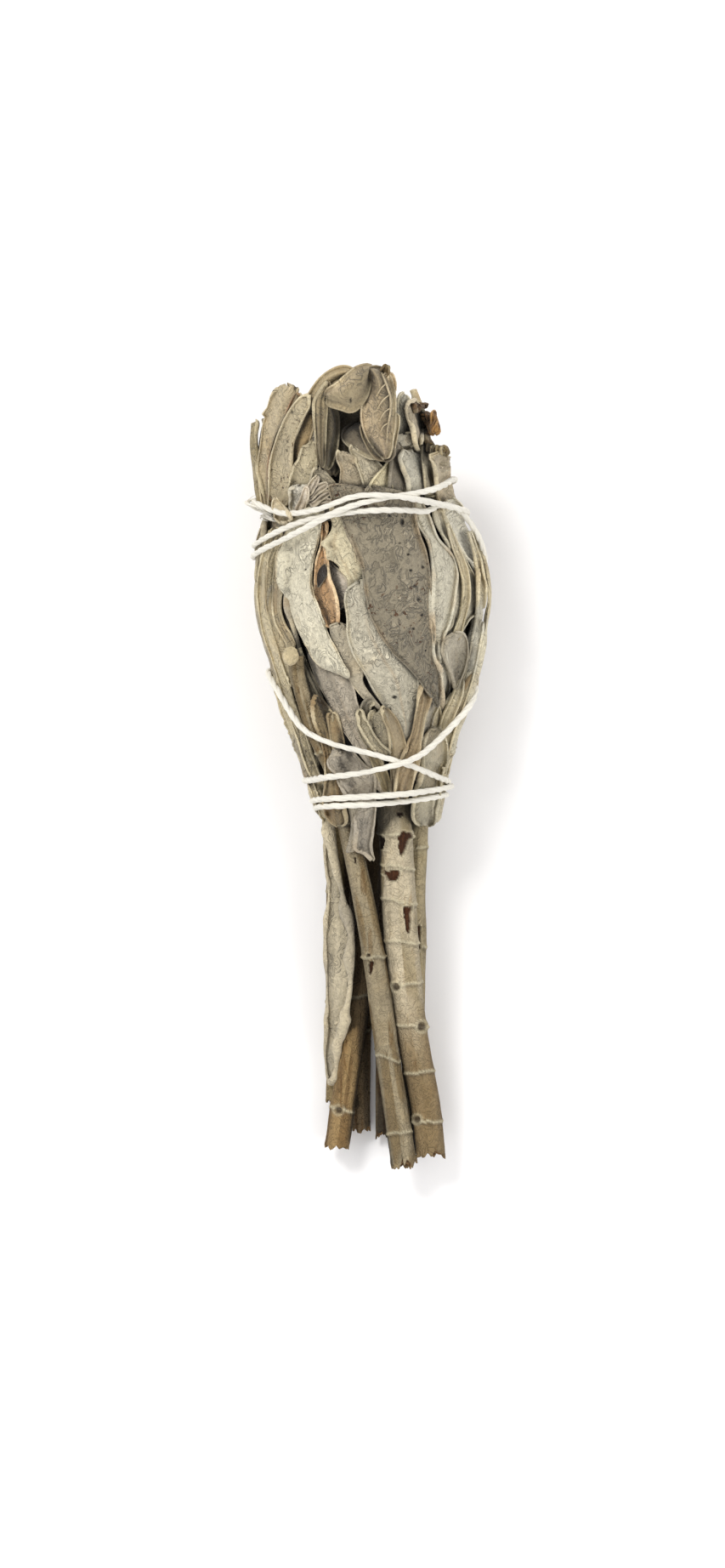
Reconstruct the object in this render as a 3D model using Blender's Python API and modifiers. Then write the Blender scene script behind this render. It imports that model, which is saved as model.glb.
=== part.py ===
"""Dried white sage bunch, tied with cotton twine and lying on its side on a flat surface.

The bunch lies along Y: cut stems at -Y, leaf tips at +Y, +Z up. Sizes are millimetres until a mesh is
written. A place on the bunch is an angle round it (0 straight up, 90 towards +X), a length y along it,
and a height above the heart, the packed inner leaves. Each outer leaf is draped over what already lies
under it, so the leaves stack as they do in a real bunch and none cuts through another.
"""

import math

import bmesh
import bpy
import numpy as np
from mathutils import Vector

MM = 0.001

# Driving dimensions, in millimetres.
FLATTENING = 0.84
AXIS_HEIGHT = 19.2
AXIS_RISE = 0.16
ORIGIN_SHIFT = (1.6, 0.6, 0.0)
LEAF_THICKNESS = 0.7
LAYER_GAP = 0.42
TWINE_RADIUS = 0.6
TWINE_GAP = 0.3
SOCKET_GAP = 0.4
HEART_BOTTOM = -5.0
HEART_TOP = 54.0
RING_RISE = 0.28
RING_REACH = 1.1

# Stations along the bunch: y, sideways place of its axis, half width of the heart there, and the
# height that a leaf has there when nothing lies under it.
BODY = np.array(
    [
        (-95, 1.4, 9.0, -3.0),
        (-40, 1.0, 9.0, -3.0),
        (-12, 0.8, 9.8, -3.0),
        (-7, 0.9, 10.4, -1.2),
        (0, 0.8, 11.6, 0.0),
        (10, 0.6, 14.0, 0.0),
        (20, 0.3, 16.8, 0.0),
        (30, -0.1, 18.9, 0.0),
        (38, -0.4, 19.5, 0.0),
        (50, -1.8, 18.3, 0.0),
        (60, -3.8, 16.4, 0.8),
        (72, -6.2, 15.2, 2.0),
        (95, -9.4, 13.4, 3.0),
    ],
    float,
)

# Colour and roughness of each finish.
FINISHES = {
    "sage_pale": ((0.60, 0.56, 0.43), 0.85),
    "sage_grey": ((0.33, 0.29, 0.22), 0.85),
    "sage_tan": ((0.40, 0.25, 0.12), 0.8),
    "stem_bark": ((0.41, 0.34, 0.21), 0.8),
    "stem_brown": ((0.28, 0.17, 0.07), 0.75),
    "cotton": ((0.80, 0.76, 0.66), 0.9),
}


def smooth_curve(t, knots, values):
    """Cubic pieces through values at knots, whose slopes there are the central differences."""
    knots = np.asarray(knots, float)
    values = np.asarray(values, float)
    slopes = np.gradient(values, knots, axis=0)
    t = np.clip(np.asarray(t, float), knots[0], knots[-1])
    k = np.clip(np.searchsorted(knots, t, side="right") - 1, 0, len(knots) - 2)
    span = knots[k + 1] - knots[k]
    s = (t - knots[k]) / span
    if values.ndim > 1:
        s = s[..., None]
        span = span[..., None]
    start = values[k] * (2 * s**3 - 3 * s**2 + 1) + slopes[k] * span * (s**3 - 2 * s**2 + s)
    end = values[k + 1] * (3 * s**2 - 2 * s**3) + slopes[k + 1] * span * (s**3 - s**2)
    return start + end


def axis_x(y):
    return smooth_curve(y, BODY[:, 0], BODY[:, 1])


def axis_z(y):
    return AXIS_HEIGHT + AXIS_RISE * np.asarray(y, float)


def half_width(y):
    return smooth_curve(y, BODY[:, 0], BODY[:, 2])


def on_bunch(angle, y, height):
    """Point at an angle (radians) round the bunch, at y along it, at a height above the heart."""
    a = half_width(y)
    x = axis_x(y) + (a + height) * np.sin(angle)
    z = axis_z(y) + (FLATTENING * a + height) * np.cos(angle)
    return np.stack([x, np.broadcast_to(y, x.shape), z], axis=-1)


def from_bunch(points):
    """Angle, y and height of points: the inverse of on_bunch, by four rounds of correction."""
    y = points[..., 1]
    a = half_width(y)
    across = points[..., 0] - axis_x(y)
    up = points[..., 2] - axis_z(y)
    height = np.zeros_like(y)
    for _ in range(4):
        angle = np.arctan2(across * (FLATTENING * a + height), up * (a + height))
        reach = across * np.sin(angle) + up * np.cos(angle)
        height = reach - a * (np.sin(angle) ** 2 + FLATTENING * np.cos(angle) ** 2)
        height = np.maximum(height, 0.5 - FLATTENING * a)
    return angle, y, height


class Relief:
    """Height of what has been laid on the bunch so far, on a grid of angle and length."""

    ANGLES = 240
    STEP = 0.5
    LOW_Y = -95.0
    ROWS = 380

    def __init__(self):
        y = self.LOW_Y + self.STEP * np.arange(self.ROWS)
        self.height = np.tile(smooth_curve(y, BODY[:, 0], BODY[:, 3]), (self.ANGLES, 1))

    def cells(self, angle, y):
        column = np.round(angle / (2 * np.pi) * self.ANGLES).astype(int) % self.ANGLES
        row = np.clip(np.round((y - self.LOW_Y) / self.STEP).astype(int), 0, self.ROWS - 1)
        return column, row

    def at(self, angle, y):
        return self.height[self.cells(angle, y)]

    def lay(self, points, spread=1):
        """Raises the relief to the given points, and to the same height in the cells round each."""
        angle, y, height = from_bunch(points)
        column, row = self.cells(angle, y)
        for dc in range(-spread, spread + 1):
            for dr in range(-spread, spread + 1):
                place = ((column + dc) % self.ANGLES, np.clip(row + dr, 0, self.ROWS - 1))
                np.maximum.at(self.height, place, height)


def material(name):
    """The named finish as a Principled BSDF."""
    found = bpy.data.materials.get(name)
    if found:
        return found
    colour, roughness = FINISHES[name]
    made = bpy.data.materials.new(name)
    made.use_nodes = True
    shader = made.node_tree.nodes["Principled BSDF"]
    shader.inputs["Base Color"].default_value = (*colour, 1)
    shader.inputs["Roughness"].default_value = roughness
    shader.inputs["Metallic"].default_value = 0
    return made


def to_metres(points):
    return (np.asarray(points, float) + ORIGIN_SHIFT) * MM


def clear_scene():
    for old in list(bpy.data.objects):
        bpy.data.objects.remove(old, do_unlink=True)


def collection(name):
    made = bpy.data.collections.new(name)
    bpy.context.scene.collection.children.link(made)
    return made


def add_object(name, data, finish, home):
    made = bpy.data.objects.new(name, data)
    home.objects.link(made)
    data.materials.clear()
    data.materials.append(material(finish))
    return made


def baked(obj, finish):
    """Replaces an object, curve or modified mesh, by its evaluated mesh with the doubles merged."""
    bpy.context.view_layer.update()
    graph = bpy.context.evaluated_depsgraph_get()
    mesh = bpy.data.meshes.new_from_object(obj.evaluated_get(graph))
    shape = bmesh.new()
    shape.from_mesh(mesh)
    bmesh.ops.remove_doubles(shape, verts=shape.verts, dist=1e-6)
    shape.to_mesh(mesh)
    shape.free()
    name = obj.name
    home = obj.users_collection[0]
    bpy.data.objects.remove(obj, do_unlink=True)
    return add_object(name, mesh, finish, home)


def away_from_axis(point):
    """Direction straight out from the bunch's axis, for a point in metres."""
    x, y, z = (float(value) / MM - shift for value, shift in zip(point, ORIGIN_SHIFT))
    return Vector((x - float(axis_x(y)), 0, (z - float(axis_z(y))) / FLATTENING))


def blade_object(name, grid, finish, home, thickness=LEAF_THICKNESS):
    """A leaf blade: a grid of points (across, along) in millimetres, thickened on its outer side.

    The grid is split into triangles before it is thickened, so both faces are split alike.
    """
    across, along = grid.shape[:2]
    shape = bmesh.new()
    bmesh.ops.create_grid(shape, x_segments=along - 1, y_segments=across - 1, size=1)
    order = sorted(shape.verts, key=lambda vertex: (round(vertex.co.y, 4), round(vertex.co.x, 4)))
    for vertex, point in zip(order, to_metres(grid).reshape(-1, 3)):
        vertex.co = point
    bmesh.ops.triangulate(shape, faces=shape.faces)
    shape.normal_update()
    facing = sum(face.normal.dot(away_from_axis(face.calc_center_median())) for face in shape.faces)
    if facing < 0:
        bmesh.ops.reverse_faces(shape, faces=shape.faces)
    mesh = bpy.data.meshes.new(name)
    shape.to_mesh(mesh)
    shape.free()
    obj = add_object(name, mesh, finish, home)
    wall = obj.modifiers.new("wall", "SOLIDIFY")
    wall.thickness = thickness * MM
    wall.offset = 1.0
    return obj


def outline(v, half, base, tip, peak):
    """Half width of a leaf along it: narrow at the base, widest at the peak, rounded in to the tip."""
    rising = np.clip(v / peak, 0, 1)
    falling = np.clip((v - peak) / (1 - peak), 0, 1)
    before = base + (half - base) * rising * rising * (3 - 2 * rising)
    after = tip + (half - tip) * np.sqrt(np.clip(1 - falling**2.4, 0, 1))
    return np.where(v < peak, before, after)


def outer_normals(grid):
    """Unit normals of a grid of points, turned away from the bunch's axis."""
    normal = np.cross(np.gradient(grid, axis=0), np.gradient(grid, axis=1))
    normal /= np.linalg.norm(normal, axis=-1, keepdims=True)
    middle = np.stack([axis_x(grid[..., 1]), grid[..., 1], axis_z(grid[..., 1])], axis=-1)
    facing = np.sign(np.sum((grid - middle) * normal))
    return normal * facing


def between_nodes(grid, rows=33, columns=73):
    """A grid filled in evenly between its nodes, with each new point's four nodes and their shares."""
    s, t = np.meshgrid(np.linspace(0, 1, rows), np.linspace(0, 1, columns), indexing="ij")
    high, wide = grid.shape[0] - 1, grid.shape[1] - 1
    i = np.clip((s * high).astype(int), 0, high - 1)
    j = np.clip((t * wide).astype(int), 0, wide - 1)
    fi, fj = s * high - i, t * wide - j
    corners = [
        (i, j, (1 - fi) * (1 - fj)),
        (i, j + 1, (1 - fi) * fj),
        (i + 1, j, fi * (1 - fj)),
        (i + 1, j + 1, fi * fj),
    ]
    return sum(grid[a, b] * share[..., None] for a, b, share in corners), corners


class Leaf:
    """One outer leaf: its midrib's path as (degrees, y), and its half widths in millimetres."""

    def __init__(self, name, path, half, base=1.2, tip=1.0, peak=0.6, crown=0.5, cells=(4, 8),
                 finish="sage_pale", thickness=LEAF_THICKNESS, bulge=(0, 1, 0)):
        self.name = name
        self.path = np.array(path, float)
        self.path[:, 0] = np.radians(self.path[:, 0])
        self.widths = (half, base, tip, peak)
        self.crown = crown
        self.cells = cells
        self.finish = finish
        self.thickness = thickness
        self.bulge = bulge
        reach = half_width(self.path[:, 1]) + 3.0
        steps = np.hypot(np.diff(self.path[:, 0]) * reach[1:], np.diff(self.path[:, 1]))
        self.knots = np.concatenate([[0], np.cumsum(steps)]) / steps.sum()
        self.phase = 1.7 * self.path[0, 1] + 5 * self.path[-1, 0]

    def place(self, u, v):
        """Angle and y of the point at u across the leaf (-1 to 1) and v along it (0 to 1)."""
        middle = smooth_curve(v, self.knots, self.path)
        ahead = smooth_curve(v + 0.02, self.knots, self.path) - smooth_curve(v - 0.02, self.knots, self.path)
        reach = half_width(middle[..., 1]) + 3.0
        run, rise = ahead[..., 0] * reach, ahead[..., 1]
        size = np.hypot(run, rise)
        side = u * outline(v, *self.widths) * (1 + 0.06 * np.sin(17 * v + self.phase + 2 * u))
        return middle[..., 0] + side * rise / size / reach, middle[..., 1] - side * run / size

    def draped(self, relief, u, v, form):
        """The leaf laid on the relief: its lowest sheet of the given form that clears all under it.

        The sheet starts at the relief's height at each node, pulled taut. Wherever a point between the
        nodes is then too low, the nodes round it rise by their shares in it, until nothing is.
        """
        angle, y = self.place(u, v)
        sheet = relief.at(angle, y) + LAYER_GAP
        for _ in range(4):
            padded = np.pad(sheet, 1, mode="edge")
            mean = (padded[:-2, 1:-1] + padded[2:, 1:-1] + padded[1:-1, :-2] + padded[1:-1, 2:]) / 4
            sheet = np.maximum(sheet, mean)
        sheet = sheet + form - np.min(form)
        for _ in range(30):
            fine, corners = between_nodes(on_bunch(angle, y, sheet))
            fine_angle, fine_y, height = from_bunch(fine)
            short = np.maximum(relief.at(fine_angle, fine_y) + LAYER_GAP - height, 0)
            weight = sum(share**2 for _, _, share in corners)
            lift = np.zeros_like(sheet)
            for i, j, share in corners:
                np.maximum.at(lift, (i, j), short * share / weight)
            sheet = sheet + lift
        return on_bunch(angle, y, sheet)

    def build(self, relief, home):
        us = np.linspace(-1, 1, self.cells[0] + 1)
        vs = np.linspace(0, 1, self.cells[1] + 1)
        u, v = np.meshgrid(us, vs, indexing="ij")
        arch = self.crown * (1 - u * u) * outline(v, *self.widths) / self.widths[0]
        ripple = 0.18 * np.abs(u) * (1 + np.sin(15 * v + 2 * self.phase + 3 * u))
        middle, reach, rise = self.bulge
        swell = rise * np.exp(-(((self.place(u, v)[1] - middle) / reach) ** 2))
        grid = self.draped(relief, u, v, arch + ripple + swell)
        obj = blade_object(self.name, grid, self.finish, home, self.thickness)
        relief.lay(between_nodes(grid + self.thickness * outer_normals(grid))[0])
        if np.min(grid[..., 2]) < self.thickness:
            obj = pressed_on_ground(baked(obj, self.finish))
        return obj


def pressed_on_ground(obj):
    """Flattens whatever would reach below the surface onto it."""
    for vertex in obj.data.vertices:
        vertex.co.z = max(vertex.co.z, 0.0)
    return obj


def tube_object(name, points, radii, finish, home):
    """A tube along points in millimetres: a poly curve with a bevel and filled caps."""
    data = bpy.data.curves.new(name, "CURVE")
    data.dimensions = "3D"
    data.bevel_depth = MM
    data.bevel_resolution = 2
    data.use_fill_caps = True
    spline = data.splines.new("POLY")
    spline.points.add(len(points) - 1)
    for knot, point, radius in zip(spline.points, to_metres(points), radii):
        knot.co = (*point, 1)
        knot.radius = radius
    return add_object(name, data, finish, home)


def lay_tube(relief, points, radii):
    """Lays a tube on the relief, by points all round it and closely along it."""
    share = np.linspace(0, 1, len(points))
    close = np.linspace(0, 1, 8 * len(points))
    middle = np.stack([np.interp(close, share, points[:, k]) for k in range(3)], axis=-1)[:, None]
    radius = np.interp(close, share, radii)[:, None]
    turn = np.linspace(0, 2 * np.pi, 24)[None]
    ring = np.stack([radius * np.cos(turn), 0 * radius * turn, radius * np.sin(turn)], axis=-1)
    relief.lay(middle + ring)


class Stem:
    """One stem: radii at its top and foot, centre line (x, y, z) from top to foot, and leaf scars."""

    def __init__(self, name, top, foot, finish, path, scars):
        self.name = name
        self.finish = finish
        self.path = np.array(path, float)[::-1]
        self.scars = np.array(scars, float)
        self.top = top
        self.foot = foot

    def sections(self, grow=0.0):
        """Centre points and radii of the stem's cross sections, with a ridge at each leaf scar."""
        low, high = self.path[0, 1], self.path[-1, 1]
        even = np.linspace(low, high, int((high - low) / 9) + 2)
        clear = np.min(np.abs(np.subtract.outer(even, self.scars)), axis=1) > 2.5 * RING_REACH
        near = np.add.outer(self.scars, (-RING_REACH, 0, RING_REACH)).ravel()
        y = np.unique(np.concatenate([even[clear], near, (low, high)]))
        x = smooth_curve(y, self.path[:, 1], self.path[:, 0])
        z = smooth_curve(y, self.path[:, 1], self.path[:, 2])
        on_scar = np.min(np.abs(np.subtract.outer(y, self.scars)), axis=1) < 0.1
        radius = np.interp(y, (low, high), (self.foot, self.top)) + RING_RISE * on_scar + grow
        return np.stack([x, y, z], axis=-1), radius

    def build(self, relief, home):
        points, radii = self.sections()
        obj = baked(tube_object(self.name, points, radii, self.finish, home), self.finish)
        self.break_foot(obj)
        lay_tube(relief, points, radii)
        return pressed_on_ground(obj)

    def break_foot(self, obj):
        """Frays the cut end: the last ring's points go in and out along the stem."""
        low = self.path[0]
        for vertex in obj.data.vertices:
            x, y, z = np.array(vertex.co) / MM - ORIGIN_SHIFT
            if y < low[1] + 0.7 * self.foot:
                turn = math.atan2(z - low[2], x - low[0])
                vertex.co.y += 0.16 * self.foot * math.sin(3 * turn + low[0]) * MM

    def socket(self, home):
        """The hole for this stem's top, a little wider and longer than the stem."""
        points, radii = self.sections(SOCKET_GAP)
        points[-1, 1] += SOCKET_GAP
        keep = points[:, 1] > HEART_BOTTOM - 12
        return baked(tube_object("socket_" + self.name, points[keep], radii[keep], self.finish, home), self.finish)


STEMS = (
    Stem(
        "stem_thick", 3.8, 3.3, "stem_bark",
        ((3.6, 3, 21.6), (4.4, -10, 20.6), (5.6, -33, 17.2), (8.0, -55, 12.6), (11.4, -76, 8.6), (12.0, -83, 7.6)),
        (-14.5, -20.9, -28.3, -37.0, -46.0, -55.0, -65.0, -75.6),
    ),
    Stem(
        "stem_brown", 2.2, 2.6, "stem_brown",
        ((-0.8, 3, 16.2), (-0.6, -12, 15.0), (-1.2, -30, 11.9), (-3.0, -48, 9.3), (-5.6, -66, 6.9), (-7.9, -81, 5.4)),
        (-30.0, -48.8, -73.0),
    ),
    Stem(
        "stem_back", 2.0, 2.3, "stem_brown",
        ((2.6, 3, 11.4), (2.4, -12, 10.2), (2.4, -45, 5.4), (2.6, -79, 2.3)),
        (-35.0, -60.0),
    ),
    Stem(
        "stem_right", 2.3, 2.4, "stem_bark",
        ((8.6, 3, 15.6), (9.4, -10, 14.4), (8.9, -26, 11.2), (8.6, -50, 6.8), (8.4, -80, 2.3)),
        (-17.0, -38.0, -60.0),
    ),
    Stem(
        "stem_left", 1.9, 1.7, "stem_brown",
        ((-7.0, 2, 15.8), (-7.8, -12, 14.4), (-8.4, -30, 10.4), (-8.6, -50, 5.8), (-8.4, -72, 1.6)),
        (-26.0, -50.0),
    ),
    Stem(
        "stem_low", 1.8, 2.0, "stem_brown",
        ((-3.2, 3, 11.0), (-3.6, -12, 9.6), (-2.8, -45, 4.2), (-2.6, -77.8, 1.9)),
        (-30.0, -56.0),
    ),
)

# The crossing stem runs up outside the heart, so its upper part is laid on the leaves under it.
CROSSING_FREE = ((6.4, -85, 9.3), (3.6, -65, 12.8), (0.3, -43, 16.6), (-2.6, -26, 19.8), (-4.9, -15, 22.2))
CROSSING_LAID = ((-33, -9), (-38, -3), (-45, 4), (-50, 11), (-53, 18), (-55, 24))
CROSSING_RADII = (2.8, 1.6)
CROSSING_SCARS = (-62.0, -40.3, -20.0)

# Leaves hidden on the back and sides, laid first, as rows of (first angle, count, base y, tip y).
BACK_ROWS = ((112, 5, -4, 66), (96, 6, 4, 77))
BACK_SPREAD = 150.0
BACK_HALF = 6.6

UNDER_LEAVES = (
    Leaf("leaf_hanging", ((-80, -10), (-82, -20), (-84, -40), (-90, -56), (-97, -67)), 2.4, peak=0.45,
         crown=0.9, finish="sage_grey"),
    Leaf("leaf_under_left", ((3, -4), (-9, 4), (-23, 15), (-32, 26), (-38, 37)), 3.6, peak=0.55),
    Leaf("leaf_left_far_low", ((-64, -5), (-73, 3), (-75, 10), (-74, 18)), 2.8, finish="sage_grey"),
    Leaf("leaf_left_outer", ((-58, -8), (-73, 0), (-82, 10), (-88, 19), (-88, 28), (-81, 37), (-71, 47)), 3.2),
    Leaf("leaf_left_strand", ((-54, -4), (-54, 4), (-58, 13), (-62, 22), (-62, 32), (-62, 41), (-57, 50)), 2.6),
    Leaf("leaf_top_tall", ((-50, 46), (-56, 55), (-59, 64), (-49, 73), (-34, 82)), 3.2, base=2.0),
    Leaf("leaf_top_second", ((-43, 48), (-45, 57), (-40, 66), (-29, 74), (-20, 79)), 2.9, base=2.0),
    Leaf("leaf_top_stick", ((-65, 46), (-76, 57), (-77, 66), (-74, 74)), 1.5, finish="sage_tan", crown=0.8),
    Leaf("leaf_top_middle", ((-13, 52), (-7, 60), (-5, 64), (-6, 69)), 2.8, base=2.0, cells=(4, 6)),
    Leaf("leaf_top_centre", ((7, 52), (10, 60), (8, 65), (3, 70)), 2.9, base=2.0, cells=(4, 6)),
    Leaf("leaf_top_right", ((27, 50), (32, 62), (38, 70), (40, 75), (43, 80)), 2.2, base=1.6),
    Leaf("leaf_top_narrow", ((42, 52), (45, 62), (50, 71), (53, 79)), 2.0, base=1.6, cells=(4, 6)),
    Leaf("leaf_top_tube", ((52, 48), (57, 61), (64, 69)), 2.6, base=2.0, crown=1.4, cells=(4, 6)),
    Leaf("leaf_top_tan", ((66, 56), (68, 66), (68, 76)), 2.2, base=1.6, finish="sage_tan", cells=(4, 6)),
    Leaf("leaf_right_silhouette", ((60, 2), (70, 17), (82, 30), (90, 39), (90, 48), (86, 58)), 5.4),
)

OVER_LEAVES = (
    Leaf("leaf_right_edge", ((44, 3), (55, 12), (64, 21), (64, 32), (63, 41), (60, 50), (55, 57), (57, 63)), 3.6),
    Leaf("leaf_inner_tan", ((-17, 24), (-20, 37), (-22, 48), (-18, 56)), 2.6, finish="sage_tan", cells=(4, 6)),
    Leaf("leaf_centre_left", ((3, 12), (-12, 20), (-17, 28), (-17, 34)), 2.8, cells=(4, 6)),
    Leaf("leaf_right_low", ((50, -4), (51, 3), (55, 10), (57, 19), (66, 27)), 2.6, finish="sage_grey", cells=(4, 6)),
    Leaf("leaf_right_fold", ((47, 2), (47, 10), (41, 19), (37, 28), (37, 37), (38, 46), (37, 53), (38, 61)), 2.6),
    Leaf("leaf_right_pointed", ((53, 17), (49, 24), (49, 32), (52, 40), (55, 48)), 2.7, finish="sage_grey"),
    Leaf("leaf_left_strand_high", ((-49, 25), (-52, 31), (-57, 36), (-57, 44), (-51, 52)), 2.2, cells=(4, 6)),
    Leaf("leaf_left_low", ((-29, 0), (-34, 6), (-38, 13), (-41, 19), (-44, 23)), 2.0, cells=(4, 6)),
    Leaf("leaf_neck_cut", ((-21, -18), (-25, -13), (-24, -7), (-24, -1)), 1.8, base=1.6, finish="sage_grey",
         cells=(4, 6)),
    Leaf("leaf_torn_low", ((-4, -19), (-9, -13), (-12, -7), (-17, -2), (-24, 3), (-27, 8)), 2.8,
         finish="sage_grey", cells=(4, 8)),
    Leaf("leaf_mid_pale", ((23, 5), (14, 13), (5, 21), (-3, 30), (-7, 39), (-8, 48), (-6, 56)), 4.9, peak=0.35,
         cells=(6, 10)),
    Leaf("leaf_neck_left", ((18, -5), (18, 2), (14, 6), (7, 11), (2, 15)), 1.7, cells=(4, 6)),
    Leaf("leaf_neck_middle", ((21, -5), (25, 0), (28, 6), (28, 12), (24, 17), (18, 23)), 1.9, cells=(4, 6)),
    Leaf("leaf_neck_right", ((45, -5), (41, 4), (38, 10), (32, 16), (27, 22)), 1.9, cells=(4, 6)),
    Leaf("leaf_neck_curled", ((9, -4), (0, 3), (-5, 10), (-8, 15)), 1.7, cells=(4, 6)),
    Leaf("leaf_torn_pale", ((-12, 37), (-12, 46), (-10, 54), (-9, 62)), 3.2, base=2.6, tip=1.6, cells=(4, 6)),
    Leaf("leaf_dark_broad", ((42, 14), (26, 26), (14, 37), (11, 48), (10, 55), (10, 61)), 8.4, base=1.6, tip=5.5,
         peak=0.8, finish="sage_grey", crown=1.6, cells=(6, 10)),
    Leaf("leaf_pale_left", ((-14, 15), (-19, 22), (-28, 28), (-37, 37), (-39, 44), (-35, 51), (-32, 57)), 4.1,
         base=1.6, tip=1.6, crown=1.2, cells=(6, 10)),
)

# The leaf that the bunch lies on: its midrib is thick, and it swells out between two turns of twine.
RESTING_LEAF = Leaf("leaf_resting", ((188, -2), (188, 12), (189, 25), (189, 37), (189, 50), (190, 64)), 7.0,
                    cells=(6, 12), thickness=1.6, bulge=(30, 7, 4.6))

# Twine: angle in degrees, which only falls, and y, where the twine crosses the bunch.
TWINE_ROUTE = (
    (180, -4), (90, -2.7), (40, -0.5), (0, 2.8), (-50, 8.5), (-90, 20), (-180, 12.5), (-228, 22),
    (-270, 52.7), (-320, 54.6), (-360, 54.6), (-400, 52.3), (-450, 47.5), (-540, 53.5), (-630, 61.6),
    (-675, 59.0), (-720, 56.2), (-758, 50.7), (-785, 47.5), (-810, 45.3), (-900, 50), (-990, 54.7),
    (-1044, 57.0), (-1080, 57.8), (-1105, 55.0), (-1130, 54.2), (-1170, 56.9), (-1215, 52), (-1260, 46),
    (-1305, 34), (-1350, 15.6), (-1380, 8), (-1400, 4.2), (-1440, -0.2), (-1485, -2.1), (-1530, -2.6), (-1620, -3),
    (-1710, -3.9), (-1800, -5.8), (-1890, -6.9), (-1980, -5.8), (-2070, -5.6), (-2160, -7.5),
    (-2250, -8.6), (-2340, -9.8),
)
TWINE_STEPS = 24

# Inner leaf tips: rings of (share of the heart's half width, count, tip y).
INNER_TIPS = ((0.72, 7, 70), (0.42, 4, 66))
HOOD_LEAVES = (
    (((2.0, 46, 32.2), (2.2, 60, 34.8), (2.0, 72, 36.9), (-0.4, 83.6, 38.4)), 3.4, 1.6),
    (((-7.0, 46, 32.2), (-7.6, 62, 35.9), (-5.6, 76, 39.0), (-2.6, 84.4, 39.9)), 3.4, 1.2),
    (((-11.5, 46, 29.2), (-14.6, 62, 32.9), (-13.4, 75, 36.0), (-9.0, 83.0, 37.9)), 2.0, 0.8),
)


def heart_object(home):
    """The packed inner leaves: a sphere drawn out to the bunch's shape and pleated like leaf edges."""
    rounds, rings = 44, 13
    shape = bmesh.new()
    bmesh.ops.create_uvsphere(shape, u_segments=rounds, v_segments=rings + 1, radius=1)
    levels = np.concatenate([[HEART_BOTTOM], np.linspace(HEART_BOTTOM, HEART_TOP, rings - 2), [HEART_TOP]])
    for vertex in shape.verts:
        step = math.acos(max(-1.0, min(1.0, -vertex.co.z))) / math.pi * (rings + 1)
        ring = int(round(step)) - 1
        angle = math.atan2(vertex.co.x, vertex.co.y)
        if ring < 0 or ring >= rings:
            y, inset = (HEART_BOTTOM, HEART_TOP)[ring > 0], 1.0
        else:
            y, inset = levels[ring], 0.45 if ring in (0, rings - 1) else 0.0
        deep = FLATTENING * float(half_width(y))
        pleat = 0.7 * ((angle * 11 / (2 * math.pi) + 0.04 * y) % 1.0) - 0.9
        place = on_bunch(np.array(angle), np.array(float(y)), pleat * (1 - inset) - inset * deep)
        vertex.co = to_metres(place)
    bmesh.ops.recalc_face_normals(shape, faces=shape.faces)
    mesh = bpy.data.meshes.new("leaf_heart")
    shape.to_mesh(mesh)
    shape.free()
    return add_object("leaf_heart", mesh, "sage_grey", home)


def upright_blade(name, path, half, crown, home, cells=(3, 6)):
    """A blade along a path (x, y, z) that faces away from the bunch's axis."""
    path = np.array(path, float)
    u, v = np.meshgrid(np.linspace(-1, 1, cells[0] + 1), np.linspace(0, 1, cells[1] + 1), indexing="ij")
    knots = np.linspace(0, 1, len(path))
    middle = smooth_curve(v, knots, path)
    along = smooth_curve(v + 0.03, knots, path) - smooth_curve(v - 0.03, knots, path)
    along /= np.linalg.norm(along, axis=-1, keepdims=True)
    out = middle - np.stack([axis_x(middle[..., 1]), middle[..., 1], axis_z(middle[..., 1])], axis=-1)
    side = np.cross(along, out)
    side /= np.linalg.norm(side, axis=-1, keepdims=True)
    out = np.cross(side, along)
    width = outline(v, half, 0.6 * half, 0.9, 0.55)
    grid = middle + side * (u * width)[..., None] + out * (crown * (1 - u * u) * width / half)[..., None]
    return baked(blade_object(name, grid, "sage_grey", home), "sage_grey")


def cut_or_join(body, tools, operation):
    """Applies one Boolean with a collection of tools, then removes the tools."""
    step = body.modifiers.new(operation, "BOOLEAN")
    step.operation = operation
    step.operand_type = "COLLECTION"
    step.collection = tools
    step.solver = "EXACT"
    made = baked(body, "sage_grey")
    for tool in list(tools.objects):
        bpy.data.objects.remove(tool, do_unlink=True)
    bpy.data.collections.remove(tools)
    return made


def build_heart(home):
    body = heart_object(home)
    tips = collection("inner_tips")
    for share, count, top in INNER_TIPS:
        for k in range(count):
            angle = 2 * math.pi * (k + share) / count
            depth = (share - 1) * half_width(HEART_TOP)
            reach = np.array([40.0, 50.0, 60.0, top + 3 * math.sin(5 * k + 2 * share)])
            path = on_bunch(np.full(4, angle), reach, depth + np.array([-1.0, -0.5, 0.0, -0.6]))
            upright_blade(f"inner_{top}_{k}", path, 3.4, 0.7, tips)
    for k, (path, half, crown) in enumerate(HOOD_LEAVES):
        upright_blade(f"hood_{k}", path, half, crown, tips)
    body = cut_or_join(body, tips, "UNION")
    sockets = collection("sockets")
    for stem in STEMS:
        stem.socket(sockets)
    return cut_or_join(body, sockets, "DIFFERENCE")


def back_leaves():
    """The hidden leaves: rows spread over the back, each leaf leaning a little."""
    made = []
    for row, (first, count, base, top) in enumerate(BACK_ROWS):
        for k in range(count):
            angle = first + (BACK_SPREAD + 32 * row) * k / (count - 1)
            lean = 5 * math.sin(2.3 * k + row)
            tip = top + 4 * math.sin(1.9 * k + 2 * row)
            path = [(angle + lean * s, base + (tip - base) * s) for s in (0, 0.25, 0.5, 0.75, 1)]
            finish = ("sage_grey", "sage_pale")[(k + row) % 2]
            made.append(Leaf(f"leaf_back_{row}_{k}", path, BACK_HALF, cells=(4, 7), finish=finish))
    return made


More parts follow.
